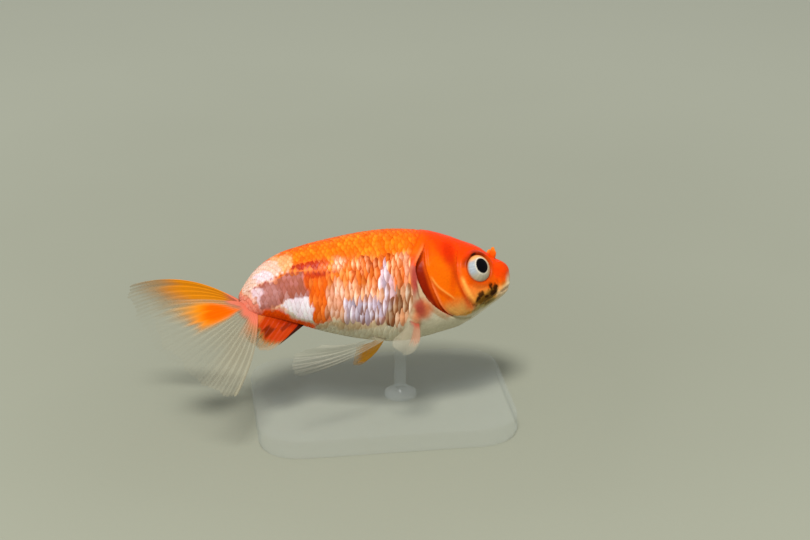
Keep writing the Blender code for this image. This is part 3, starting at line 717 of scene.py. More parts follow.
def face_layers(head):
    """The ground of head and gill covers, from crown to throat, with painted shade in the gill cover's
    hollow and a painted highlight on the jaw's lower edge.
    """
    x, z, wander, level, on_cover = head.x, head.z, head.wander, head.level, head.on_cover
    front = smooth_step(0.0, 0.5, x - coat_edge(z) - 2.5)
    face = np.where(on_cover | (x > 15.5) | ((z > 9.6) & (x > 11)), 1.0, front * (z > 9.6))
    cheek = face * ~on_cover * smooth_step(17.6, 18.6, x)
    nape = head.bare * smooth_step(13.0, 7.0, x + 0.6 * wander)
    under = z - np.interp(x, STATIONS[:, 0], STATIONS[:, 2])
    return [
        ("face", face),
        ("crown", face * smooth_step(4.8, 8.4, level)),
        ("nape", 0.9 * nape * smooth_step(6.5, 8.5, level)),
        ("cover", on_cover * smooth_step(9.0, 5.0, level)),
        # painted shade in the hollow of the gill cover before the cheek fold
        ("cover_shade", 0.9 * oval(x, level, 16.1, 7.6, 1.5, 3.0, 6, 1.3)),
        ("cover_shade", 0.45 * oval(x, level, 17.1, 3.0, 0.9, 3.6, -8, 1.4)),
        ("cover", 0.6 * oval(x, level, 12.6, 6.4, 1.0, 3.2, 4, 1.3) * on_cover),
        ("cover_low", on_cover * smooth_step(-1.4, -5.2, z + 0.3 * (16 - x) + wander)),
        ("cheek", 0.45 * cheek * smooth_step(2.2, -0.8, level) * (x < 25)),
        ("cheek_low", cheek * smooth_step(-0.4, -2.6, level - 0.45 * (x - 22))),
        ("throat", smooth_step(13, 15, x) * smooth_step(-5.3, -6.1, z + 0.2 * wander)),
        ("jaw_olive", (x > 21.5) * smooth_step(-2.4, -3.6, level - 0.30 * (x - 23))),
        ("throat", (x > 20.5) * smooth_step(-4.2, -5.0, z + 0.3 * wander - 0.42 * (x - 23))),
        # a painted highlight along the jaw's lower edge
        ("jaw_edge_highlight", smooth_step(19.0, 21.0, x) * smooth_step(1.1, 0.5, under)),
    ]


def fold_layers(head):
    """Painted shade in the folds and painted highlights on the ridges and the gill cover's edge, with
    faint rays of painted shade on its lower edge.
    """
    x, z, edge_gap, on_cover = head.x, head.z, head.edge_gap, head.on_cover
    rim = on_cover * line_mask(edge_gap - 0.15, 0.25) * smooth_step(0.40, 0.62, head.share["edge"])
    ray = line_mask(np.sin(5.2 * (edge_gap - 0.2)), 0.35) * (edge_gap < 2.2) * (edge_gap > 0.5)
    return [
        # painted shade in the cheek fold, under the opercle's ridge and between the rays of the gill
        # cover's lower edge
        ("fold_shade_red", 0.85 * head.ridge("cheek", -0.25, 0.50, 0.12, 0.2) * smooth_step(7.0, 3.5, z)),
        # painted highlights along the cheek's pad and the opercle's ridge, in the bright cheek colour
        ("cheek", 0.95 * head.ridge("cheek", 0.95, 0.45, 0.2, 0.25) * smooth_step(3.6, 1.8, z)),
        ("fold_end", 0.75 * oval(x, head.level, 20.9, -3.3, 1.5, 1.2, -35, 1.2)),
        ("cheek", 0.65 * head.ridge("opercle", 0.15, 0.20, 0.2, 0.2)),
        ("fold_shade_red", 0.55 * head.ridge("opercle", -0.55, 0.45, 0.2, 0.2)),
        # a painted highlight along the gill cover's edge
        ("rim_highlight", 0.75 * rim * open_ends(head.share["edge"])),
        ("fold_shade_red", 0.22 * ray * on_cover * smooth_step(14.0, 15.2, x) * (z < -1.8)),
        # painted shade in the throat's groove
        ("olive", 0.7 * head.ridge("throat", 0, 0.35)),
    ]


def slit_layers(head):
    """The red gill slit with painted shade deep in it and along its rear edge, and the rim of skin behind
    it with painted highlights and a painted shadow.
    """
    x, z, slit_gap = head.x, head.z, head.slit_gap
    # painted shade: the red slit darker away from the gill cover's edge and low down
    deep = smooth_step(0.15, 1.1, head.edge_gap) * smooth_step(9.5, 4.5, z)
    rim = head.behind * open_ends(head.share["slit"], 0.12, 0.12)
    wide = 0.25 + 0.80 * smooth_step(2.0, -2.4, z)
    shadow = line_mask(slit_gap - wide - 0.35, 0.18) * oval(x, z, 9.2, -0.4, 2.2, 2.6, 0, 0.8)
    return [
        ("slit_edge", head.in_slit),
        ("slit", head.in_slit * (0.25 + 0.75 * deep)),
        # painted shade along the slit's rear edge
        ("slit_shade", 0.8 * head.in_slit * line_mask(slit_gap, 0.45) * smooth_step(9.5, 7.5, z)),
        # a painted highlight on the rim of skin behind the slit's upper part
        ("rim_highlight", 0.8 * rim * line_mask(slit_gap - 0.25, 0.35) * smooth_step(5.0, 7.0, z)),
        # the pale rim behind the slit's lower part: its own pale colour and a painted highlight
        ("rim_pale_highlight", rim * smooth_step(wide + 0.35, wide, slit_gap) * smooth_step(2.8, 1.2, z)),
        # a painted shadow on the skin behind the slit's lower part
        ("slit_shade", 0.55 * head.behind * shadow),
    ]


def lobe_layers(head):
    """The fleshy root of the pectoral fin."""
    blot = 0.6 * head.wander
    x, z = head.x + blot, head.z + blot
    return [
        ("lobe_tail", 0.8 * oval(x, head.z, 8.6, -7.0, 1.0, 3.0, 6, 1.2)),
        ("lobe_front", 0.9 * oval(x, z, 10.1, -4.1, 2.0, 2.1, 10, 1.1)),
        ("lobe", 0.9 * oval(x, z, 9.2, -3.8, 1.1, 1.9, 14, 1.3)),
    ]


def snout_layers(head):
    """Snout and lips."""
    x, level = head.x, head.level
    mouth = line_mask(head.gap["mouth"], 0.2) * smooth_step(0.0, 0.2, head.share["mouth"])
    return [
        ("snout", oval(x, level, 28.2, 5.4, 2.6, 2.6, -30, 0.6)),
        ("lip", 0.9 * smooth_step(29.2, 30.3, x) * smooth_step(4.0, 2.4, level)),
        ("lip", 0.8 * smooth_step(26.8, 28.2, x) * smooth_step(1.4, -0.6, level - 0.5 * (x - 28))),
        ("fold_end", 0.12 * mouth),
    ]


def smudge_layers(head):
    """The smudge of black pigment before the jaw, and a ghost of it on the left."""
    speck = 0.5 * soft_noise(head.points, 0.8, 33) + 0.35 * soft_noise(head.points, 0.4, 34)
    strength = np.where(head.points[:, 1] < 0, 1.0, 0.3)
    x, z = head.x, head.z
    clouds = [("smudge_soft", 0.85 * strength * oval(x + speck, z + speck, *place, 1.0))
              for place in SMUDGE_CLOUDS]
    return clouds + [("smudge", 0.9 * strength * oval(x + 0.6 * speck, z + 0.6 * speck, *place, 0.9))
                     for place in SMUDGE_SPOTS]


def eye_rim_layers(head):
    """Red painted shade in the hollow round both eyes, darker under the ridge over each, and a black mark
    there.
    """
    layers = []
    for side in (-1, 1):
        centre, rearwards, upwards, out = eye_axes(side)
        offset = head.points - centre
        u, v = offset @ rearwards, offset @ upwards
        here = ((offset @ out) > -1.5) & (head.points[:, 1] * side > 0)
        radius = np.hypot(u, v)
        bow = smooth_step(0.30, 0.85, (v + 0.45 * u) / np.maximum(radius, 0.1))
        layers += [
            # painted shade in the hollow round the ball and under the ridge over it
            ("rim_shade", 0.9 * here * smooth_step(3.8, 3.2, radius)),
            ("fold_shade_red", 0.45 * here * smooth_step(4.4, 3.2, radius)),
            ("brow_shade", 0.8 * here * bow * smooth_step(4.9, 3.7, radius + 0.8 * head.wander)),
            ("brow_mark", here * oval(u, v, 1.2, 3.15, 0.8, 0.30, -24, 1.1)),
        ]
    return layers


def paint_head(colours, head):
    """Pigment of head, gill covers and the bare skin behind them, with painted shade and highlights on
    the folds and rims, laid over the body's.
    """
    colours = mixed(colours, lay_over(colours, HEAD_PAINT, bare_layers(head)), head.bare)
    for layers in (face_layers, fold_layers, slit_layers, lobe_layers, snout_layers, smudge_layers,
                   eye_rim_layers):
        colours = lay_over(colours, HEAD_PAINT, layers(head))
    grain = 1 + 0.05 * soft_noise(head.points, 0.9, 35) + 0.04 * soft_noise(head.points, 0.35, 36)
    return colours * grain[:, None]


def pigment_group():
    """Node group: fine mottling of a painted colour, with a height for the finest unevenness."""
    group = bpy.data.node_groups.new("pigment grain", "ShaderNodeTree")
    for name, way, kind in (("Paint", "INPUT", "Color"), ("Grain", "INPUT", "Float"),
                            ("Colour", "OUTPUT", "Color"), ("Height", "OUTPUT", "Float"),
                            ("Roughness", "OUTPUT", "Float")):
        group.interface.new_socket(name, in_out=way, socket_type=f"NodeSocket{kind}")
    source = group.nodes.new("NodeGroupInput")
    result = group.nodes.new("NodeGroupOutput")
    fine = add_noise(group, 0.00045, detail=4.0, roughness=0.6)
    broad = add_noise(group, 0.0022, detail=2.0)
    shade = add_ramp(group, fine.outputs["Fac"], [(0.25, (0.72, 0.64, 0.58)), (0.6, (1.0, 1.0, 1.0))])
    mottle = group.nodes.new("ShaderNodeMix")
    mottle.data_type = "RGBA"
    mottle.blend_type = "MULTIPLY"
    group.links.new(source.outputs["Grain"], mottle.inputs["Factor"])
    group.links.new(source.outputs["Paint"], mottle.inputs["A"])
    group.links.new(shade, mottle.inputs["B"])
    group.links.new(mottle.outputs["Result"], result.inputs["Colour"])
    gloss = add_ramp(group, broad.outputs["Fac"], [(0.3, (0.26,)), (0.7, (0.44,))])
    group.links.new(gloss, result.inputs["Roughness"])
    group.links.new(fine.outputs["Fac"], result.inputs["Height"])
    return group


pigment_grain = pigment_group()


def painted_material(name, mottling, **sockets):
    """A material in the piece's own paint, mottled that much, with its tree, its shader and
    the node that mottles it."""
    material, tree, shader = new_material(name, **sockets)
    grain = tree.nodes.new("ShaderNodeGroup")
    grain.node_tree = pigment_grain
    grain.inputs["Grain"].default_value = mottling
    tree.links.new(link_paint(tree).outputs["Color"], grain.inputs["Paint"])
    tree.links.new(grain.outputs["Colour"], shader.inputs["Base Color"])
    return material, tree, shader, grain


def skin_material(name):
    material, tree, shader, grain = painted_material(
        name, 0.45, coat_weight=0.01, coat_roughness=0.30, specular_ior_level=0.05)
    tree.links.new(grain.outputs["Roughness"], shader.inputs["Roughness"])
    tree.links.new(add_bump(tree, grain.outputs["Height"], 0.22, 0.00008), shader.inputs["Normal"])
    return material


def tube_faces(rings, sides):
    """Quads of a tube of rings, then the fans that close its ends round two more points."""
    ring, side = np.meshgrid(np.arange(rings - 1), np.arange(sides), indexing="ij")
    following = (side + 1) % sides
    quads = np.stack([ring * sides + side, ring * sides + following,
                      (ring + 1) * sides + following, (ring + 1) * sides + side], axis=-1)
    faces = quads.reshape(-1, 4).tolist()
    first_hub, last = rings * sides, (rings - 1) * sides
    for k in range(sides):
        following = (k + 1) % sides
        faces.append([following, k, first_hub])
        faces.append([last + k, last + following, first_hub + 1])
    return faces


def make_skin():
    head_start = np.interp(HEAD_START, STATION_X, STATION_SHARE)
    along = np.concatenate([
        np.linspace(0, head_start, BODY_RINGS, endpoint=False),
        np.linspace(head_start, 1, HEAD_RINGS),
    ])[:, None]
    around = np.linspace(0, 2 * math.pi, SKIN_SIDES, endpoint=False)[None, :]
    plain = body_point(along, around).reshape(-1, 3)
    normals = body_normal(along, around).reshape(-1, 3)
    head = HeadMap(plain)
    coat = coat_share(plain)
    height = head_relief(head, normals) * (1 - coat) - SCALE_DEPTH * coat
    points = raise_eye_rims(plain + normals * height[:, None])
    body = body_paint(plain)[:, :3]
    # painted shade: the skin under the scales is darkened
    colours = paint_head(mixed(body, body * UNDER_SCALES_SHADE, 0.8 * coat), head)

    def with_hubs(values):
        """The rings' values, then their means at the tube's two ends."""
        return np.vstack([values, values[:SKIN_SIDES].mean(axis=0), values[-SKIN_SIDES:].mean(axis=0)])

    skin = fish_mesh("skin", with_hubs(points), tube_faces(len(along), SKIN_SIDES),
                     skin_material("living_skin"), with_hubs(colours))
    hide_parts("head", "lower_jaw", "gill_cover_right", "gill_cover_left", "trunk", "tail_stalk")


make_skin()


# ---- Scales ---------------------------------------------------------------------------------
# Thin round plates of clear horn over pigment, set in rows like tiles: each is rooted in the skin
# and laps over the next two behind it. They gape on the lower front flank, lie close on the
# back, and are almost flush on the dusky patch before the tail.

SIDES = ((-1, "right"), (1, "left"))  # where each side of the fish lies along Y, and its name
SCALE_ROWS = 20  # on each side, from the back's midline to the belly's
ROW_SPREAD = [(0.0, 1.15), (0.30, 1.25), (0.46, 2.4), (0.72, 2.5), (1.0, 1.8)]  # share round, height
PITCH_FRONT, PITCH_REAR = 1.16, 0.95  # from one scale to the next in its row
SCALE_GRID = (9, 12)  # cells from root to tip, and across
SCALE_ACROSS = np.sin(np.linspace(-math.pi / 2, math.pi / 2, SCALE_GRID[1] + 1)) * 0.995
SCALE_THICK = 0.06
# The scales that lap over one: how far ahead each is in pitches, and aside in half heights.
LAPPING = [(1.0, 0.0), (0.5, 0.926), (0.5, -0.926)]
PATCH_SIZE = 0.003  # of each scale on the unwrap of the skin's form
COAT_START, COAT_END = 13.4, -29.4  # the rows run between these, as x
SCALE_BELTS = {"back": (0, 8), "flank": (8, 13), "belly": (13, SCALE_ROWS + 1)}  # rows in each piece
# Painted shade: the pigment is darkened by this much in the crevices between scales.
CREVICE_SHADE = (0.50, 0.27, 0.15)  # how much darker the pigment is between scales
# The pores of the lateral line, from the stalk forwards: x and z.
LATERAL_LINE = [(-28.2, -0.2), (-26.0, 1.1), (-24.4, 2.0), (-22.5, 3.0), (-20.1, 3.8), (-18.3, 4.2),
                (-15.6, 4.3), (-8.0, 4.4), (0.0, 4.4), (6.0, 4.7)]
PORE_SPACING = 1.15
GLINT_PAINT, PORE_PAINT = (255, 226, 220), (164, 40, 24)


def perimeter_angles(along, sides=721):
    """Shares of the way round half the body, from -0.5 to 1.5, and the angles they fall at."""
    angles = np.linspace(-math.pi / 2, 1.5 * math.pi, sides)
    ring = body_point(np.full(sides, along), angles)
    walked = np.concatenate([[0.0], np.cumsum(np.linalg.norm(np.diff(ring, axis=0), axis=1))])
    back = np.interp(0.0, angles, walked)
    belly = np.interp(math.pi, angles, walked)
    return (walked - back) / (belly - back), angles


def row_shares():
    """How far round each row lies, and half the height of its scales, as shares of the half
    perimeter. The rows crowd on the back and stand tall on the flank."""
    way = np.linspace(0, 1, 400)
    density = 1 / np.interp(way, *np.array(ROW_SPREAD).T)
    count = np.concatenate([[0.0], np.cumsum((density[1:] + density[:-1]) / 2)])
    count *= SCALE_ROWS / count[-1]
    shares = np.interp(np.arange(SCALE_ROWS + 1), count, way)
    return shares, 1.08 * np.gradient(shares)


def scale_outline(across, pitch):
    """Where a scale starts and ends along its row, across its width, in millimetres."""
    root = -0.80 * pitch * (1 - 0.30 * across**2)
    tip = pitch * (0.78 - 0.92 * (1 - np.sqrt(np.clip(1 - across**2, 0, 1))))
    return root, tip


def crevice_depth(across, back, pitch):
    """How near a place on a scale is to the edge of a scale that laps over it."""
    nearest = np.full(back.shape, FAR)
    for shift_back, shift_across in LAPPING:
        other = np.clip(across + shift_across, -1, 1)
        inside = np.abs(across + shift_across) < 1
        tip = scale_outline(other, pitch)[1] - shift_back * pitch
        nearest = np.minimum(nearest, np.where(inside, back - tip, FAR))
    return nearest


def lateral_pores(points):
    """Masks of the lateral line's dark pores and of the pale glints over them."""
    x, z = points[..., 0], points[..., 2]
    line_x, line_z = np.array(LATERAL_LINE).T
    height = z - np.interp(x, line_x, line_z) - 0.12 * soft_noise(points, 1.3, 71)
    phase = (x / PORE_SPACING - np.round(x / PORE_SPACING)) * PORE_SPACING
    fade = smooth_step(-29.0, -27.0, x) * smooth_step(6.5, 5.0, x)
    fade = fade * (1 - 0.75 * smooth_step(-12.0, -7.0, x))
    dot = np.exp(-(np.hypot(phase, height) / 0.27) ** 2) * fade
    glint = np.exp(-(np.hypot(phase - 0.25, height - 0.50) / 0.30) ** 2) * fade
    return dot, glint * (1 - smooth_step(-20.5, -18.0, x))


def plate_faces(cells, strips):
    """Quads of one closed plate: upper grid, lower grid and the rim between them."""
    width = strips + 1
    count = (cells + 1) * width
    quads = []
    for i in range(cells):
        for j in range(strips):
            a, b, c, d = i * width + j, i * width + j + 1, (i + 1) * width + j + 1, (i + 1) * width + j
            quads.append((a, b, c, d))
            quads.append((count + d, count + c, count + b, count + a))
    rim = [(0, j) for j in range(strips)] + [(i, strips) for i in range(cells)]
    rim += [(cells, j) for j in range(strips, 0, -1)] + [(i, 0) for i in range(cells, 0, -1)]
    numbers = [i * width + j for i, j in rim]
    for a, b in zip(numbers, numbers[1:] + numbers[:1]):
        quads.append((b, a, count + a, count + b))
    return quads


def scale_places():
    """Every scale of one side: x, share of the way round, pitch, row, and the turn round the body
    for shares across it."""
    places = []
    shares, halves = row_shares()
    x, column = COAT_START, 0
    while x > COAT_END:
        pitch = np.interp(x, (-29, 10), (PITCH_REAR, PITCH_FRONT))
        along = np.interp(x, STATION_X, STATION_SHARE)
        angles = perimeter_angles(along)
        for row in range(column % 2, SCALE_ROWS + 1, 2):
            turn = np.interp(shares[row], *angles)
            middle = body_point(np.array([along]), np.array([turn]))[0]
            if middle[0] < coat_edge(middle[2]) + 0.5:
                across = np.interp(shares[row] + SCALE_ACROSS * halves[row], *angles)
                places.append((x, shares[row], pitch, row, across))
        x -= pitch / 2
        column += 1
    return places


class ScalePiece:
    """The scales of one piece of the coat, on a grid [scale, reach, across]. Every scale has its
    own random lean, lift and tone, drawn from one seed in the order of the lines below."""

    def __init__(self, side, places, seed):
        self.side, self.count = side, len(places)
        self.random = np.random.default_rng(seed)
        cells, strips = SCALE_GRID
        x, self.share, self.pitch = (
            np.array([place[k] for place in places])[:, None, None] for k in range(3))
        self.reach = np.linspace(0, 1, cells + 1)[:, None] ** 0.8
        self.across = SCALE_ACROSS[None, :]
        # on the trunk each scale sits a little off its place and turned; on the stalk they are even
        loose = smooth_step(-14.0, -8.0, x)
        self.x = x + 0.22 * loose * self.spread(-1, 1)
        self.root, tip = scale_outline(self.across, self.pitch)
        self.back = self.root + (tip * (1 + 0.12 * self.spread(-1, 1)) - self.root) * self.reach
        turn = np.stack([place[4] for place in places])[:, None, :] + 0 * self.back
        twist = (0.10 + 0.16 * loose) * self.spread(-1, 1) * (self.reach - 0.4)
        twist = twist + 0.14 * loose * self.spread(-1, 1)
        turn = turn + twist * (turn[..., -1:] - turn[..., :1]) / 2
        if side > 0:
            turn = 2 * math.pi - turn
        where = np.interp(self.x - self.back, STATION_X, STATION_SHARE)
        self.plain, self.normal = body_point(where, turn), body_normal(where, turn)
        # pigment, looked up a little aside for each scale, so that the patches end raggedly
        aside = [self.spread(-0.5, 0.5), 0 * self.spread(0, 1), self.spread(-0.4, 0.4)]
        aside = np.stack(aside, axis=-1)
        middle = self.plain[:, cells // 2: cells // 2 + 1, strips // 2: strips // 2 + 1]
        self.centre = body_paint(middle + aside)
        self.gape = self.centre[..., GAPE]
        plated = np.clip(2.5 * self.gape, 0.1, 1.0)
        rows = body_paint(self.plain + 0.5 * plated[..., None] * aside)
        self.rows = mixed(rows, self.centre, 0.65 * plated + 0 * self.back)

    def spread(self, low, high):
        return self.random.uniform(low, high, (self.count, 1, 1))

    def form(self):
        """Upper and lower face: rooted under the skin line, lifted towards the free rim."""
        gape, reach, across = self.gape, self.reach, self.across
        lift = 0.045 + 0.085 * np.minimum(gape, 1.0) ** 0.5 + 0.10 * np.maximum(gape - 0.4, 0.0)
        lift = lift * (1 + 0.45 * np.minimum(gape, 1.0) * self.spread(-1, 1))
        rise = lift * (self.back - self.root) / self.pitch
        rise = rise + 0.09 * gape * self.spread(-1, 1) * across * reach
        rise = rise + 0.05 * (0.3 + gape) * (1 - across**2) * np.sin(math.pi * reach)
        top = self.plain + self.normal * (rise - SCALE_DEPTH - 0.012)[..., None]
        thick = 0.35 + 0.65 * np.sin(math.pi * np.clip(reach, 0.1, 0.93))
        thick = SCALE_THICK * thick * np.ones_like(self.back)
        return top, top - self.normal * thick[..., None]

    def paint(self):
        """Colours and silver: painted shade in the crevices under the lapping scales, painted highlights
        at the rim and on the orange scales.
        """
        gape, reach, across, spread = self.gape, self.reach, self.across, self.spread
        broken = np.minimum(gape, 1.0)
        gap = crevice_depth(across, self.back, self.pitch)
        # painted shade in the crevices under the lapping scales, deeper where they gape
        shade = np.exp(-np.maximum(gap, 0) / (0.13 + 0.16 * gape)) * (0.12 + 0.78 * gape)
        shade = np.clip(shade * (1 + 0.5 * broken * spread(-1, 1)), 0, 0.95)
        # gaping scales lean to their paler colour in a crescent by the free rim, a painted highlight; the
        # rest of the lean is random tone
        crescent = np.exp(-((reach - 0.88 - 0.05 * spread(-1, 1)) / 0.15) ** 2)
        lean = spread(0, 1) ** 1.3 * (1 - 0.80 * broken + 1.2 * broken * crescent)
        lean = np.clip(lean, 0, 1) * np.exp(-((across - 0.3 * spread(-1, 1)) / 0.8) ** 2)
        colour = mixed(self.rows[..., :3], self.rows[..., 3:6], lean)
        tone = np.clip(self.random.normal(size=(self.count, 1, 1)), -2, 2)
        colour = colour * (1 + 0.11 * (0.3 + gape) * tone)[..., None]
        colour = mixed(colour, colour * CREVICE_SHADE, shade)
        # a painted highlight: each scale paler along its free rim
        rim = line_mask(1 - reach, 0.10) * (0.1 + 0.4 * broken)
        colour = mixed(colour, np.minimum(colour * 1.25 + 0.03, 1), rim + 0 * self.back)
        # a painted highlight: a warm glint in the middle of the orange scales
        spot = np.exp(-((gap - 0.55 * self.pitch) / (0.35 * self.pitch)) ** 2 - (across / 0.36) ** 2)
        orange = smooth_step(0.12, 0.5, self.centre[..., 0] - self.centre[..., 2])
        orange = orange * (self.centre[..., SILVER] > 0.02)
        spot_highlight = np.minimum(colour * (1.0, 1.22, 1.8) + (0.0, 0.0, 0.02), 1)
        colour = mixed(colour, spot_highlight, spot * 0.34 * orange * spread(0.2, 1.1))
        dot, glint = lateral_pores(self.plain)
        colour = mixed(colour, light_value(GLINT_PAINT), 0.8 * glint)
        colour = mixed(colour, light_value(PORE_PAINT), 0.85 * dot)
        return colour, np.clip(self.rows[..., SILVER] * (1 - 0.7 * shade), 0, 1)

    def unwrapped(self):
        """Each scale's patch, at its root's place on an unwrap of the skin's form."""
        half = self.share / 2 if self.side < 0 else 1 - self.share / 2
        u = 0.02 + 0.96 * np.interp(self.x, STATION_X, STATION_SHARE) + PATCH_SIZE * (self.reach - 0.5)
        v = 0.02 + 0.96 * half + PATCH_SIZE / 2 * self.across
        return np.stack([u + 0 * self.back, v + 0 * self.back], axis=-1)


def both_faces(top, low):
    """Values scale by scale, those of the upper face and then those of the lower."""
    return np.stack([top, low], axis=1).reshape(-1, *top.shape[3:])


def make_scales(name, side, places, seed):
    piece = ScalePiece(side, places, seed)
    top, low = piece.form()
    colour, silver = piece.paint()
    plate = np.array(plate_faces(*SCALE_GRID))
    step = plate.max() + 1
    faces = (plate[None] + step * np.arange(len(places))[:, None, None]).reshape(-1, 4)
    if side > 0:
        faces = faces[:, ::-1]
    coat = fish_mesh(name, both_faces(top, low), faces.tolist(), scale_horn,
                     both_faces(colour, colour), {"silver": both_faces(silver, silver)})
    layer = coat.data.uv_layers.new(name="OFBake")
    patches = piece.unwrapped()
    spots = both_faces(patches, patches)[faces.ravel()]
    layer.data.foreach_set("uv", spots.astype(np.float32).ravel())


def scale_material():
    """Painted horn, glossier and faintly metallic where it is silvery."""
    material, tree, shader, grain = painted_material(
        "scale_horn", 0.30, coat_roughness=0.16, specular_ior_level=0.05)
    silver = link_paint(tree, "silver").outputs["Fac"]
    metal = add_ramp(tree, silver, [(0.0, (0.0,)), (1.0, (0.08,))])
    tree.links.new(metal, shader.inputs["Metallic"])
    rough = tree.nodes.new("ShaderNodeMix")
    tree.links.new(silver, rough.inputs["Factor"])
    tree.links.new(grain.outputs["Roughness"], rough.inputs["A"])
    rough.inputs["B"].default_value = 0.28
    tree.links.new(rough.outputs["Result"], shader.inputs["Roughness"])
    tree.links.new(add_bump(tree, grain.outputs["Height"], 0.15, 0.00005), shader.inputs["Normal"])
    coat = add_ramp(tree, silver, [(0.0, (0.01,)), (1.0, (0.20,))])
    tree.links.new(coat, shader.inputs["Coat Weight"])
    return material


scale_horn = scale_material()
all_places = scale_places()
for side, word in SIDES:
    for belt, (start, end) in SCALE_BELTS.items():
        # the rows on the two midlines belong to the right side alone
        chosen = [place for place in all_places
                  if start <= place[3] < end and (side < 0 or 0 < place[3] < SCALE_ROWS)]
        make_scales(f"scales_{belt}_{word}", side, chosen, 1000 * (3 + side) + 100 * start)


# ---- Eyes -----------------------------------------------------------------------------------
# Glass eyes as a model maker sets them: a flattened ball, painted behind its clear front with a
# black pupil, a bright ring and a silver iris, and glazed.

PUPIL_RADIUS = 1.62
PUPIL_PLACE = (-0.08, 0.42)  # forward and up from the ball's axis
EYE_RINGS, EYE_SIDES = 70, 120

EYE_PAINT = {
    "pupil": (2, 2, 5), "ring": (226, 214, 190), "iris": (182, 178, 166), "iris_low": (176, 166, 142),
    "iris_front": (204, 166, 118), "iris_rear": (160, 170, 178), "iris_top": (240, 172, 104),
    "iris_edge": (186, 118, 58), "rim": (206, 92, 20),
}


def paint_eye(local):
    """Colours over the ball, from its points along the eye's own axes."""
    behind, above = local[:, 0] - PUPIL_PLACE[0], local[:, 1] - PUPIL_PLACE[1]
    radius = np.hypot(1.04 * behind, 0.94 * above)  # the pupil is a little taller than wide
    outer = np.hypot(local[:, 0], local[:, 1])
    angle = np.arctan2(above, behind)
    streak = soft_noise(np.stack([9 * np.cos(angle), 9 * np.sin(angle), radius * 0.4], axis=-1), 0.8, 51)
    paint = lay_over(np.zeros((len(local), 3)), EYE_PAINT, [
        ("iris", np.ones(len(local))),
        ("iris_front", 0.9 * smooth_step(-0.6, -1.9, behind)),
        ("iris_rear", 0.9 * smooth_step(0.8, 2.2, behind)),
        ("iris_low", smooth_step(-1.2, -2.6, above)),
    ])
    return lay_over(paint * (1 + 0.16 * streak[:, None]), EYE_PAINT, [
        ("iris_top", smooth_step(1.9, 2.7, outer) * smooth_step(1.0, 2.2, local[:, 1])),
        ("iris_edge", 0.6 * smooth_step(2.75, 2.98, outer)),
        ("rim", smooth_step(2.94, 3.06, outer)),
        ("ring", 0.75 * line_mask(radius - PUPIL_RADIUS - 0.12, 0.13)),
        ("pupil", smooth_step(PUPIL_RADIUS + 0.05, PUPIL_RADIUS - 0.05, radius)),
        ("rim", local[:, 2] < 0),
    ])


def make_eye(side, word, material):
    centre, *axes = eye_axes(side)
    polar = np.linspace(0, math.pi, EYE_RINGS + 2)[1:-1, None]
    spin = np.linspace(0, 2 * math.pi, EYE_SIDES, endpoint=False)[None, :]
    rings = np.stack([
        EYE_RADIUS * np.sin(polar) * np.cos(spin),
        EYE_RADIUS * np.sin(polar) * np.sin(spin),
        EYE_DEPTH * np.cos(polar) * np.ones_like(spin),
    ], axis=-1)
    local = np.vstack([rings.reshape(-1, 3), (0, 0, EYE_DEPTH), (0, 0, -EYE_DEPTH)])
    faces = tube_faces(EYE_RINGS, EYE_SIDES)
    if side > 0:
        faces = [face[::-1] for face in faces]
    points = centre + local @ np.array(axes)
    eye = fish_mesh(f"glass_eye_{word}", points, faces, material, paint_eye(local))
    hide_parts(f"eye_{word}")


glazed_eye = painted_material(
    "glazed_eye", 0.25, coat_weight=0.08, coat_roughness=0.03, specular_ior_level=0.04)[0]
for side, word in SIDES:
    make_eye(side, word, glazed_eye)


# ---- Nostril flaps --------------------------------------------------------------------------
# Two small leaves of skin that stand up behind the nostrils, cupped, with a rounded upper edge.
# They are cast in soft resin and painted the orange of the snout.

FLAP_ROOT, FLAP_TIP = np.array([26.7, -1.7, 6.9]), np.array([26.9, -2.1, 9.5])
FLAP_WIDTH, FLAP_THICK = 1.6, 0.5
LEFT_FLAP_HEIGHT = 0.78  # as a share of the right one's
FLAP_GRID = (25, 22)  # points across, and from root to tip
FLAP_LOW, FLAP_HIGH = (236, 96, 10), (250, 150, 50)


def closed_sheet(points, thick):
    """Two sheets either side of a grid of points, joined round the edge: points and quads."""
    rows, columns = points.shape[:2]
    normal = np.cross(np.gradient(points, axis=0), np.gradient(points, axis=1))
    normal /= np.maximum(np.linalg.norm(normal, axis=2, keepdims=True), 1e-9)
    offset = normal * (thick / 2)[..., None]
    both = np.vstack([(points + offset).reshape(-1, 3), (points - offset).reshape(-1, 3)])
    return both, plate_faces(rows - 1, columns - 1)


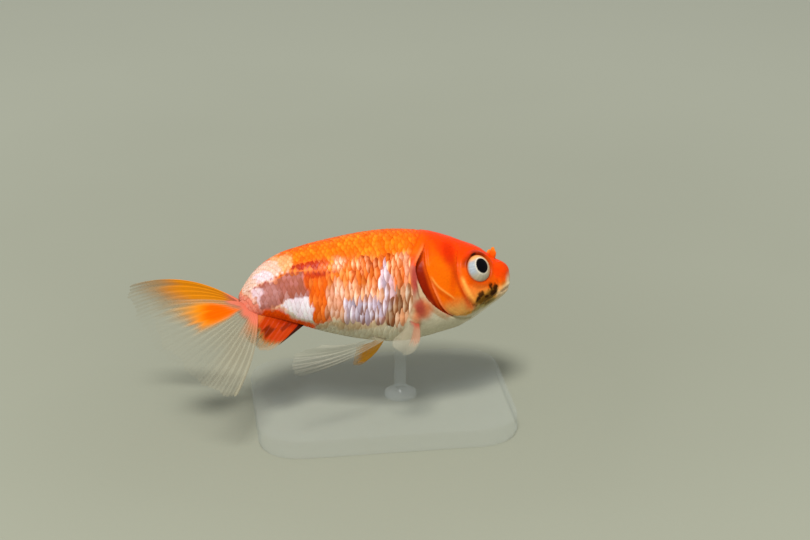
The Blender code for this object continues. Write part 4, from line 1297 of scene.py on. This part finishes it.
def make_flap(side, word, material):
    across = np.linspace(-1, 1, FLAP_GRID[0])[:, None]
    up = np.linspace(0, 1, FLAP_GRID[1])[None, :]
    round_off = 0.10 * across - 0.02 * np.cos(3 * math.pi * across) - 0.55 * across**2
    reach = up * (1 + round_off * up)
    swell = 0.55 + 0.55 * np.sin(math.pi * np.clip(0.15 + 0.75 * up, 0, 1))
    root, tip = mirrored(FLAP_ROOT, side), mirrored(FLAP_TIP, side)
    axis = (tip - root) * (1.0 if side < 0 else LEFT_FLAP_HEIGHT)
    forward = mirrored((0.80, -0.55, 0.05), side)
    out = np.cross(axis, forward)
    out /= np.linalg.norm(out)
    points = (
        root
        + reach[..., None] * axis
        + (across * swell * FLAP_WIDTH / 2)[..., None] * forward
        + (0.35 * across**2 - 0.25 * up * (1 - up))[..., None] * out
    )
    thick = FLAP_THICK * (1 - 0.45 * up) * (1 - 0.35 * across**2)
    mesh_points, faces = closed_sheet(points, thick)
    height = np.broadcast_to(up, FLAP_GRID).ravel()
    shade = (0.75 + 0.25 * smooth_step(0.0, 0.6, height))[:, None]
    colour = mixed(light_value(FLAP_LOW) * shade, light_value(FLAP_HIGH),
                   0.7 * smooth_step(0.5, 1.0, height))
    flap = fish_mesh(f"nostril_leaf_{word}", mesh_points, faces, material, np.vstack([colour, colour]))
    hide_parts(f"nostril_flap_{word}")


flap_skin = skin_material("flap_skin")
for side, word in SIDES:
    make_flap(side, word, flap_skin)


# ---- Fins -----------------------------------------------------------------------------------
# Webs of clear film over fans of fine rays, which fork twice towards a frayed edge. The double
# tail's halves, the paired fins and the twin anal fins are cast one by one and tinted from the
# root outwards, so that bare film stays clear.

# Right fins, in millimetres: foot from front to back, outer edge from front to back, how far the
# first and the last ray bow aside, the ripple's height and waves, and the number of rays.
FINS = {
    "pectoral_fin": dict(
        root=[(9.2, -7.0, -6.8), (7.6, -7.2, -5.8)],
        margin=[(8.3, -10.6, -12.6), (6.7, -11.4, -13.7), (4.6, -12.0, -13.5), (2.8, -12.0, -12.0),
                (3.0, -10.9, -10.2)],
        bow=[(0.5, -0.9, -0.2)] * 2, ripple=(0.25, 2.0), rays=13),
    "pelvic_fin": dict(
        root=[(4.2, -2.6, -9.8), (1.0, -3.4, -9.6)],
        margin=[(-17.8, -9.8, -18.3), (-19.8, -10.8, -16.9), (-19.4, -11.4, -14.5),
                (-17.0, -11.4, -12.5), (-12.8, -10.4, -11.2)],
        bow=[(0.2, -0.9, -1.0)] * 2, ripple=(0.45, 1.5), rays=9),
    "anal_fin": dict(
        root=[(-14.6, -1.1, -6.9), (-25.6, -0.8, -5.0)],
        margin=[(-21.2, -2.8, -11.8), (-23.0, -3.1, -12.9), (-25.0, -3.1, -13.0),
                (-27.0, -2.9, -11.9), (-28.4, -2.4, -9.6)],
        bow=[(0.3, -0.2, 0.2)] * 2, ripple=(0.15, 1.5), rays=9),
    "tail_fin": dict(
        root=[(-25.7, -1.0, -5.1), (-29.4, -1.0, -2.4)],
        margin=[(-31.1, -12.5, -22.2), (-33.5, -12.9, -22.5), (-36.9, -13.0, -20.9),
                (-40.3, -12.8, -18.4), (-43.2, -12.4, -15.8), (-45.3, -11.9, -13.6),
                (-47.0, -11.2, -11.5), (-48.9, -10.0, -8.0), (-49.9, -8.7, -5.0),
                (-50.4, -7.0, -3.0), (-50.0, -5.2, -1.8)],
        bow=[(1.5, -0.9, 0.6), (0.2, -0.9, 0.7)], ripple=(0.45, 2.6), rays=18),
}

# Left fins mirror the right ones, then turn about their roots by degrees round X, Y and Z.
# length and arch are given for the first and the last ray.
LEFT_TURNS = {
    "pectoral_fin": dict(turn=(10.0, 8.0, 0.0), length=(1.0, 1.0), arch=(0.0, 0.0)),
    "pelvic_fin": dict(turn=(0.0, -28.0, -38.0), length=(0.62, 0.62), arch=(0.0, 0.0)),
    "anal_fin": dict(turn=(0.0, 3.0, 0.0), length=(1.0, 1.0), arch=(0.0, 0.0)),
    "tail_fin": dict(turn=(-6.5, 6.4, 0.0), length=(0.92, 1.21), arch=(0.0, 2.5)),
}
TAIL_HINGE = np.array([-27.6, 1.0, -3.4])
ROWS_PER_RAY, FIN_COLUMNS = 12, 64

# Tints: web and ray colour and how much each covers, where the film thins out, then zones of
# colour: pigment, cover, edge softness and an outline in shares of the fan's width and length.
FIN_TINTS = {
    ("pectoral_fin", -1): dict(web=(172, 160, 132), ray=(214, 204, 180), cover=(0.26, 0.48), zones=[
        ((206, 120, 84), 0.55, 0.3, [(-0.1, -0.1), (0.55, -0.1), (0.45, 0.6), (-0.1, 0.7)]),
        ((190, 84, 62), 0.85, 0.14, [(-0.1, -0.1), (1.1, -0.1), (1.1, 0.14), (-0.1, 0.20)])]),
    ("pectoral_fin", 1): dict(web=(172, 160, 132), ray=(214, 204, 180), cover=(0.20, 0.45), zones=[
        ((206, 110, 80), 0.8, 0.14, [(-0.1, -0.1), (1.1, -0.1), (1.1, 0.14), (-0.1, 0.18)])]),
    ("pelvic_fin", -1): dict(web=(150, 146, 124), ray=(206, 200, 180), cover=(0.16, 0.34), zones=[
        ((206, 186, 150), 0.6, 0.14, [(-0.1, -0.1), (1.1, -0.1), (1.1, 0.12), (-0.1, 0.12)])]),
    ("pelvic_fin", 1): dict(web=(214, 158, 34), ray=(232, 172, 60), cover=(0.36, 0.62), zones=[
        ((240, 164, 8), 0.75, 0.2, [(-0.1, 0.15), (1.1, 0.15), (1.1, 0.85), (-0.1, 0.85)])]),
    ("anal_fin", -1): dict(web=(170, 128, 66), ray=(196, 140, 70), cover=(0.30, 0.50), zones=[
        ((222, 110, 48), 0.9, 0.24, [(0.80, -0.1), (1.1, -0.1), (1.1, 0.70), (0.86, 0.6)]),
        ((188, 52, 0), 0.97, 0.20, [
            (-0.1, -0.1), (0.84, -0.1), (0.88, 0.50), (0.55, 0.72), (0.25, 0.84), (-0.1, 0.80)]),
        ((168, 40, 2), 0.85, 0.16, [(0.02, 0.06), (0.62, 0.06), (0.50, 0.22), (0.10, 0.34)]),
        ((112, 34, 6), 0.85, 0.10, [(0.50, 0.40), (0.66, 0.30), (0.74, 0.52), (0.56, 0.66)]),
        ((120, 30, 4), 0.70, 0.06, [(0.24, 0.14), (0.34, 0.10), (0.44, 0.40), (0.34, 0.46)]),
        ((26, 12, 8), 0.94, 0.06, [(-0.1, 0.0), (0.12, 0.0), (0.10, 0.55), (0.04, 0.94), (-0.1, 0.94)])]),
    ("anal_fin", 1): dict(web=(170, 128, 66), ray=(196, 140, 70), cover=(0.30, 0.50), zones=[
        ((204, 76, 10), 0.95, 0.14, [
            (-0.1, -0.1), (1.1, -0.1), (0.88, 0.50), (0.55, 0.72), (0.25, 0.80), (-0.1, 0.80)])]),
    ("tail_fin", -1): dict(web=(146, 132, 102), ray=(180, 173, 146), cover=(0.26, 0.34), thin=[
        (0.70, 0.5, [
            (0.30, 0.62), (0.52, 0.50), (0.95, 0.62), (1.1, 0.62), (1.1, 1.2), (0.22, 1.2)])], zones=[
        ((214, 150, 62), 0.78, 0.26, [
            (0.62, 0.14), (0.86, 0.26), (0.925, 0.42), (0.92, 0.60), (0.88, 0.76), (0.78, 0.74),
            (0.72, 0.66), (0.60, 0.60), (0.575, 0.46), (0.56, 0.28)]),
        ((242, 140, 0), 0.94, 0.24, [
            (0.63, 0.14), (0.85, 0.24), (0.905, 0.40), (0.90, 0.56), (0.80, 0.62), (0.70, 0.60),
            (0.615, 0.56), (0.59, 0.44), (0.575, 0.28)]),
        ((255, 98, 0), 0.98, 0.20, [
            (0.63, 0.10), (0.84, 0.20), (0.885, 0.34), (0.86, 0.44), (0.72, 0.50), (0.64, 0.48),
            (0.60, 0.36), (0.585, 0.22)]),
        ((226, 134, 84), 0.70, 0.30, [
            (-0.1, 0.0), (0.26, 0.0), (0.26, 0.18), (0.18, 0.26), (0.08, 0.30), (-0.1, 0.30)]),
        ((224, 120, 94), 0.97, 0.10, [
            (-0.1, -0.1), (1.1, -0.1), (1.1, 0.19), (0.90, 0.17), (0.74, 0.09), (0.58, 0.10),
            (0.46, 0.15), (0.30, 0.13), (0.12, 0.16), (-0.1, 0.16)]),
        ((186, 180, 154), 0.42, 0.05, [(-0.05, 0.38), (0.018, 0.38), (0.022, 1.0), (-0.05, 1.0)])]),
    ("tail_fin", 1): dict(web=(156, 140, 106), ray=(150, 134, 100), cover=(0.16, 0.34), thin=[
        (0.85, 0.24, [
            (-0.1, 0.0), (0.60, 0.0), (0.66, 0.40), (0.74, 0.80), (0.84, 1.2), (-0.1, 1.2)])], zones=[
        ((222, 160, 84), 0.58, 0.30, [
            (0.64, 0.1), (1.1, 0.1), (1.1, 0.94), (0.94, 0.90), (0.84, 0.76), (0.70, 0.68)]),
        ((252, 152, 16), 0.97, 0.26, [
            (0.62, 0.0), (1.1, 0.0), (1.1, 0.66), (0.92, 0.66), (0.78, 0.58), (0.68, 0.52)]),
        ((226, 122, 94), 0.97, 0.12, [(-0.1, -0.1), (1.1, -0.1), (1.1, 0.13), (-0.1, 0.13)])]),
}


def left_fin(name):
    """The mirror image of a right fin, turned about its root."""
    fin, change = FINS[name], LEFT_TURNS[name]
    spin, lift, swing = (math.radians(angle) for angle in change["turn"])
    turn = np.array(Matrix.Rotation(spin, 3, "X") @ Matrix.Rotation(lift, 3, "Y")
                    @ Matrix.Rotation(swing, 3, "Z"))
    root = mirrored(fin["root"])
    hinge = TAIL_HINGE if name == "tail_fin" else root.mean(axis=0)
    margin = mirrored(fin["margin"])
    length = np.linspace(*change["length"], len(margin))[:, None]
    bow = mirrored(fin["bow"]) @ turn.T
    bow[:, 2] += change["arch"]
    made = dict(fin, bow=bow)
    made["root"] = hinge + (root - hinge) @ turn.T
    made["margin"] = hinge + ((margin - hinge) * length) @ turn.T
    return made


def ray_pattern(share, along, rays):
    """1 on a ray and 0 on the web between, with forks at half the length and near the edge."""
    place = share * rays - 0.5
    aside = np.abs(place - np.round(place))
    aside = np.abs(aside - 0.25 * smooth_step(0.50, 1.05, along))
    aside = np.abs(aside - 0.11 * smooth_step(0.78, 1.15, along))
    return np.exp(-(aside / (0.17 - 0.09 * along)) ** 2)


def fin_sheet(fin, seed):
    """Points of a fan on a grid [ray, length], its ray pattern, shares and lengths."""
    rays = fin["rays"]
    rows, columns = rays * ROWS_PER_RAY + 1, FIN_COLUMNS
    share = np.linspace(0, 1, rows)[:, None]
    along = np.linspace(0, 1, columns)[None, :]
    pattern = ray_pattern(share, along, rays)
    ragged = soft_noise(np.stack([share * rays * 1.1, 0 * share, 0 * share], axis=-1), 1.0, seed)
    fine = soft_noise(np.stack([share * rays * 4.0, 0 * share, 0 * share], axis=-1), 1.0, seed + 1)
    fray = 1 - 0.014 * (1 - pattern[:, -1:]) - 0.022 * (1 + ragged) - 0.008 * (1 + fine)
    reach = (along * fray)[..., None]
    root = np.asarray(fin["root"], float)
    foot = root[0] * (1 - share) + root[1] * share
    margin = smooth_through(fin["margin"], share.ravel())
    bow = np.asarray(fin["bow"], float)
    bow = bow[0] * (1 - share) + bow[1] * share
    points = foot[:, None] * (1 - reach) + margin[:, None] * reach
    points = points + bow[:, None] * (4 * reach * (1 - reach))
    height, waves = fin["ripple"]
    side = np.cross(points[-1, -1] - points[0, 0], points[0, -1] - points[0, 0])
    side /= np.linalg.norm(side)
    wave = height * np.sin(2 * math.pi * waves * share)[:, None] * reach**1.5
    crimp = 0.03 * np.sin(2 * math.pi * rays * share)[:, None] * reach
    return points + (wave + crimp) * side, pattern, share, along


def tint_fin(tints, pattern, share, along, seed):
    """Colour and cover over a fin."""
    web, ray = light_value(tints["web"]), light_value(tints["ray"])
    colour = web + (ray - web) * pattern[..., None]
    low, high = tints["cover"]
    cover = low + (high - low) * pattern
    cover = cover * (1 - 0.60 * smooth_step(0.50, 1.0, along))
    grid = np.stack([share * 9 + 0 * along, along * 3 + 0 * share, 0 * share * along], axis=-1)
    wander = 0.08 * soft_noise(grid, 1.0, seed) + 0.07 * soft_noise(grid * (4, 1, 1), 1.0, seed + 1)
    aside = 2 * share + 0.2 * wander
    along = along + 0.8 * wander * smooth_step(0.1, 0.4, along) - 0.04 * pattern * along
    for strength, softness, outline in tints.get("thin", []):
        cover = cover * (1 - strength * patch(aside, along, np.multiply(outline, (2, 1)), softness))
    for tint, strength, softness, outline in tints["zones"]:
        zone = patch(aside, along, np.multiply(outline, (2, 1)), softness)
        colour = mixed(colour, light_value(tint) * (1 - 0.06 * (1 - pattern[..., None])), zone * strength)
        cover = cover + (strength - cover) * zone * (strength > cover)
    return colour, np.clip(cover, 0, 1)


def fin_material():
    material, tree, shader, grain = painted_material("fin_film", 0.2, specular_ior_level=0.02)
    tree.links.new(grain.outputs["Roughness"], shader.inputs["Roughness"])
    tree.links.new(link_paint(tree, "cover").outputs["Fac"], shader.inputs["Alpha"])
    return material


def make_fin(name, side, word, material):
    fin = FINS[name] if side < 0 else left_fin(name)
    seed = 60 + 7 * list(FINS).index(name) + (0 if side < 0 else 3)
    points, pattern, share, along = fin_sheet(fin, seed)
    thick = 0.08 + 0.11 * pattern * (1 - 0.65 * along) + 0.5 * (1 - smooth_step(0.0, 0.2, along))
    mesh_points, faces = closed_sheet(points, thick)
    colour, cover = tint_fin(FIN_TINTS[name, side], pattern, share, along, seed)
    colour = np.tile(colour.reshape(-1, 3), (2, 1))
    piece = fish_mesh(f"{name}_film_{word}", mesh_points, faces, material, colour,
                      {"cover": np.tile(cover.ravel(), 2)})
    if name == "tail_fin":
        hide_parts(f"tail_fin_upper_{word}", f"tail_fin_lower_{word}")
    else:
        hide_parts(f"{name}_{word}")


fin_film = fin_material()
for name in FINS:
    for side, word in SIDES:
        make_fin(name, side, word, fin_film)


# ---- Display stand --------------------------------------------------------------------------
# A base plate and one turned rod of clear acrylic, polished, with the faint scuffs and dust of
# handling. Cut edges gather the light and look denser than the faces.


def acrylic_material():
    material, tree, shader = new_material("clear_acrylic", coat_weight=0.2, coat_roughness=0.03)
    shader.inputs["Base Color"].default_value = (0.64, 0.70, 0.69, 1.0)
    scuffs = add_noise(tree, 0.006, detail=5.0, roughness=0.65)
    rough = add_ramp(tree, scuffs.outputs["Fac"], [(0.45, (0.04,)), (0.75, (0.16,))])
    tree.links.new(rough, shader.inputs["Roughness"])
    facing = tree.nodes.new("ShaderNodeLayerWeight")
    facing.inputs["Blend"].default_value = 0.35
    cover = add_ramp(tree, facing.outputs["Facing"], [(0.0, (0.05,)), (0.55, (0.09,)), (1.0, (0.72,))])
    tree.links.new(cover, shader.inputs["Alpha"])
    return material


clear_acrylic = acrylic_material()
for name in ("stand_base", "stand_rod"):
    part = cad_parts[name]
    part.data.materials.clear()
    part.data.materials.append(clear_acrylic)
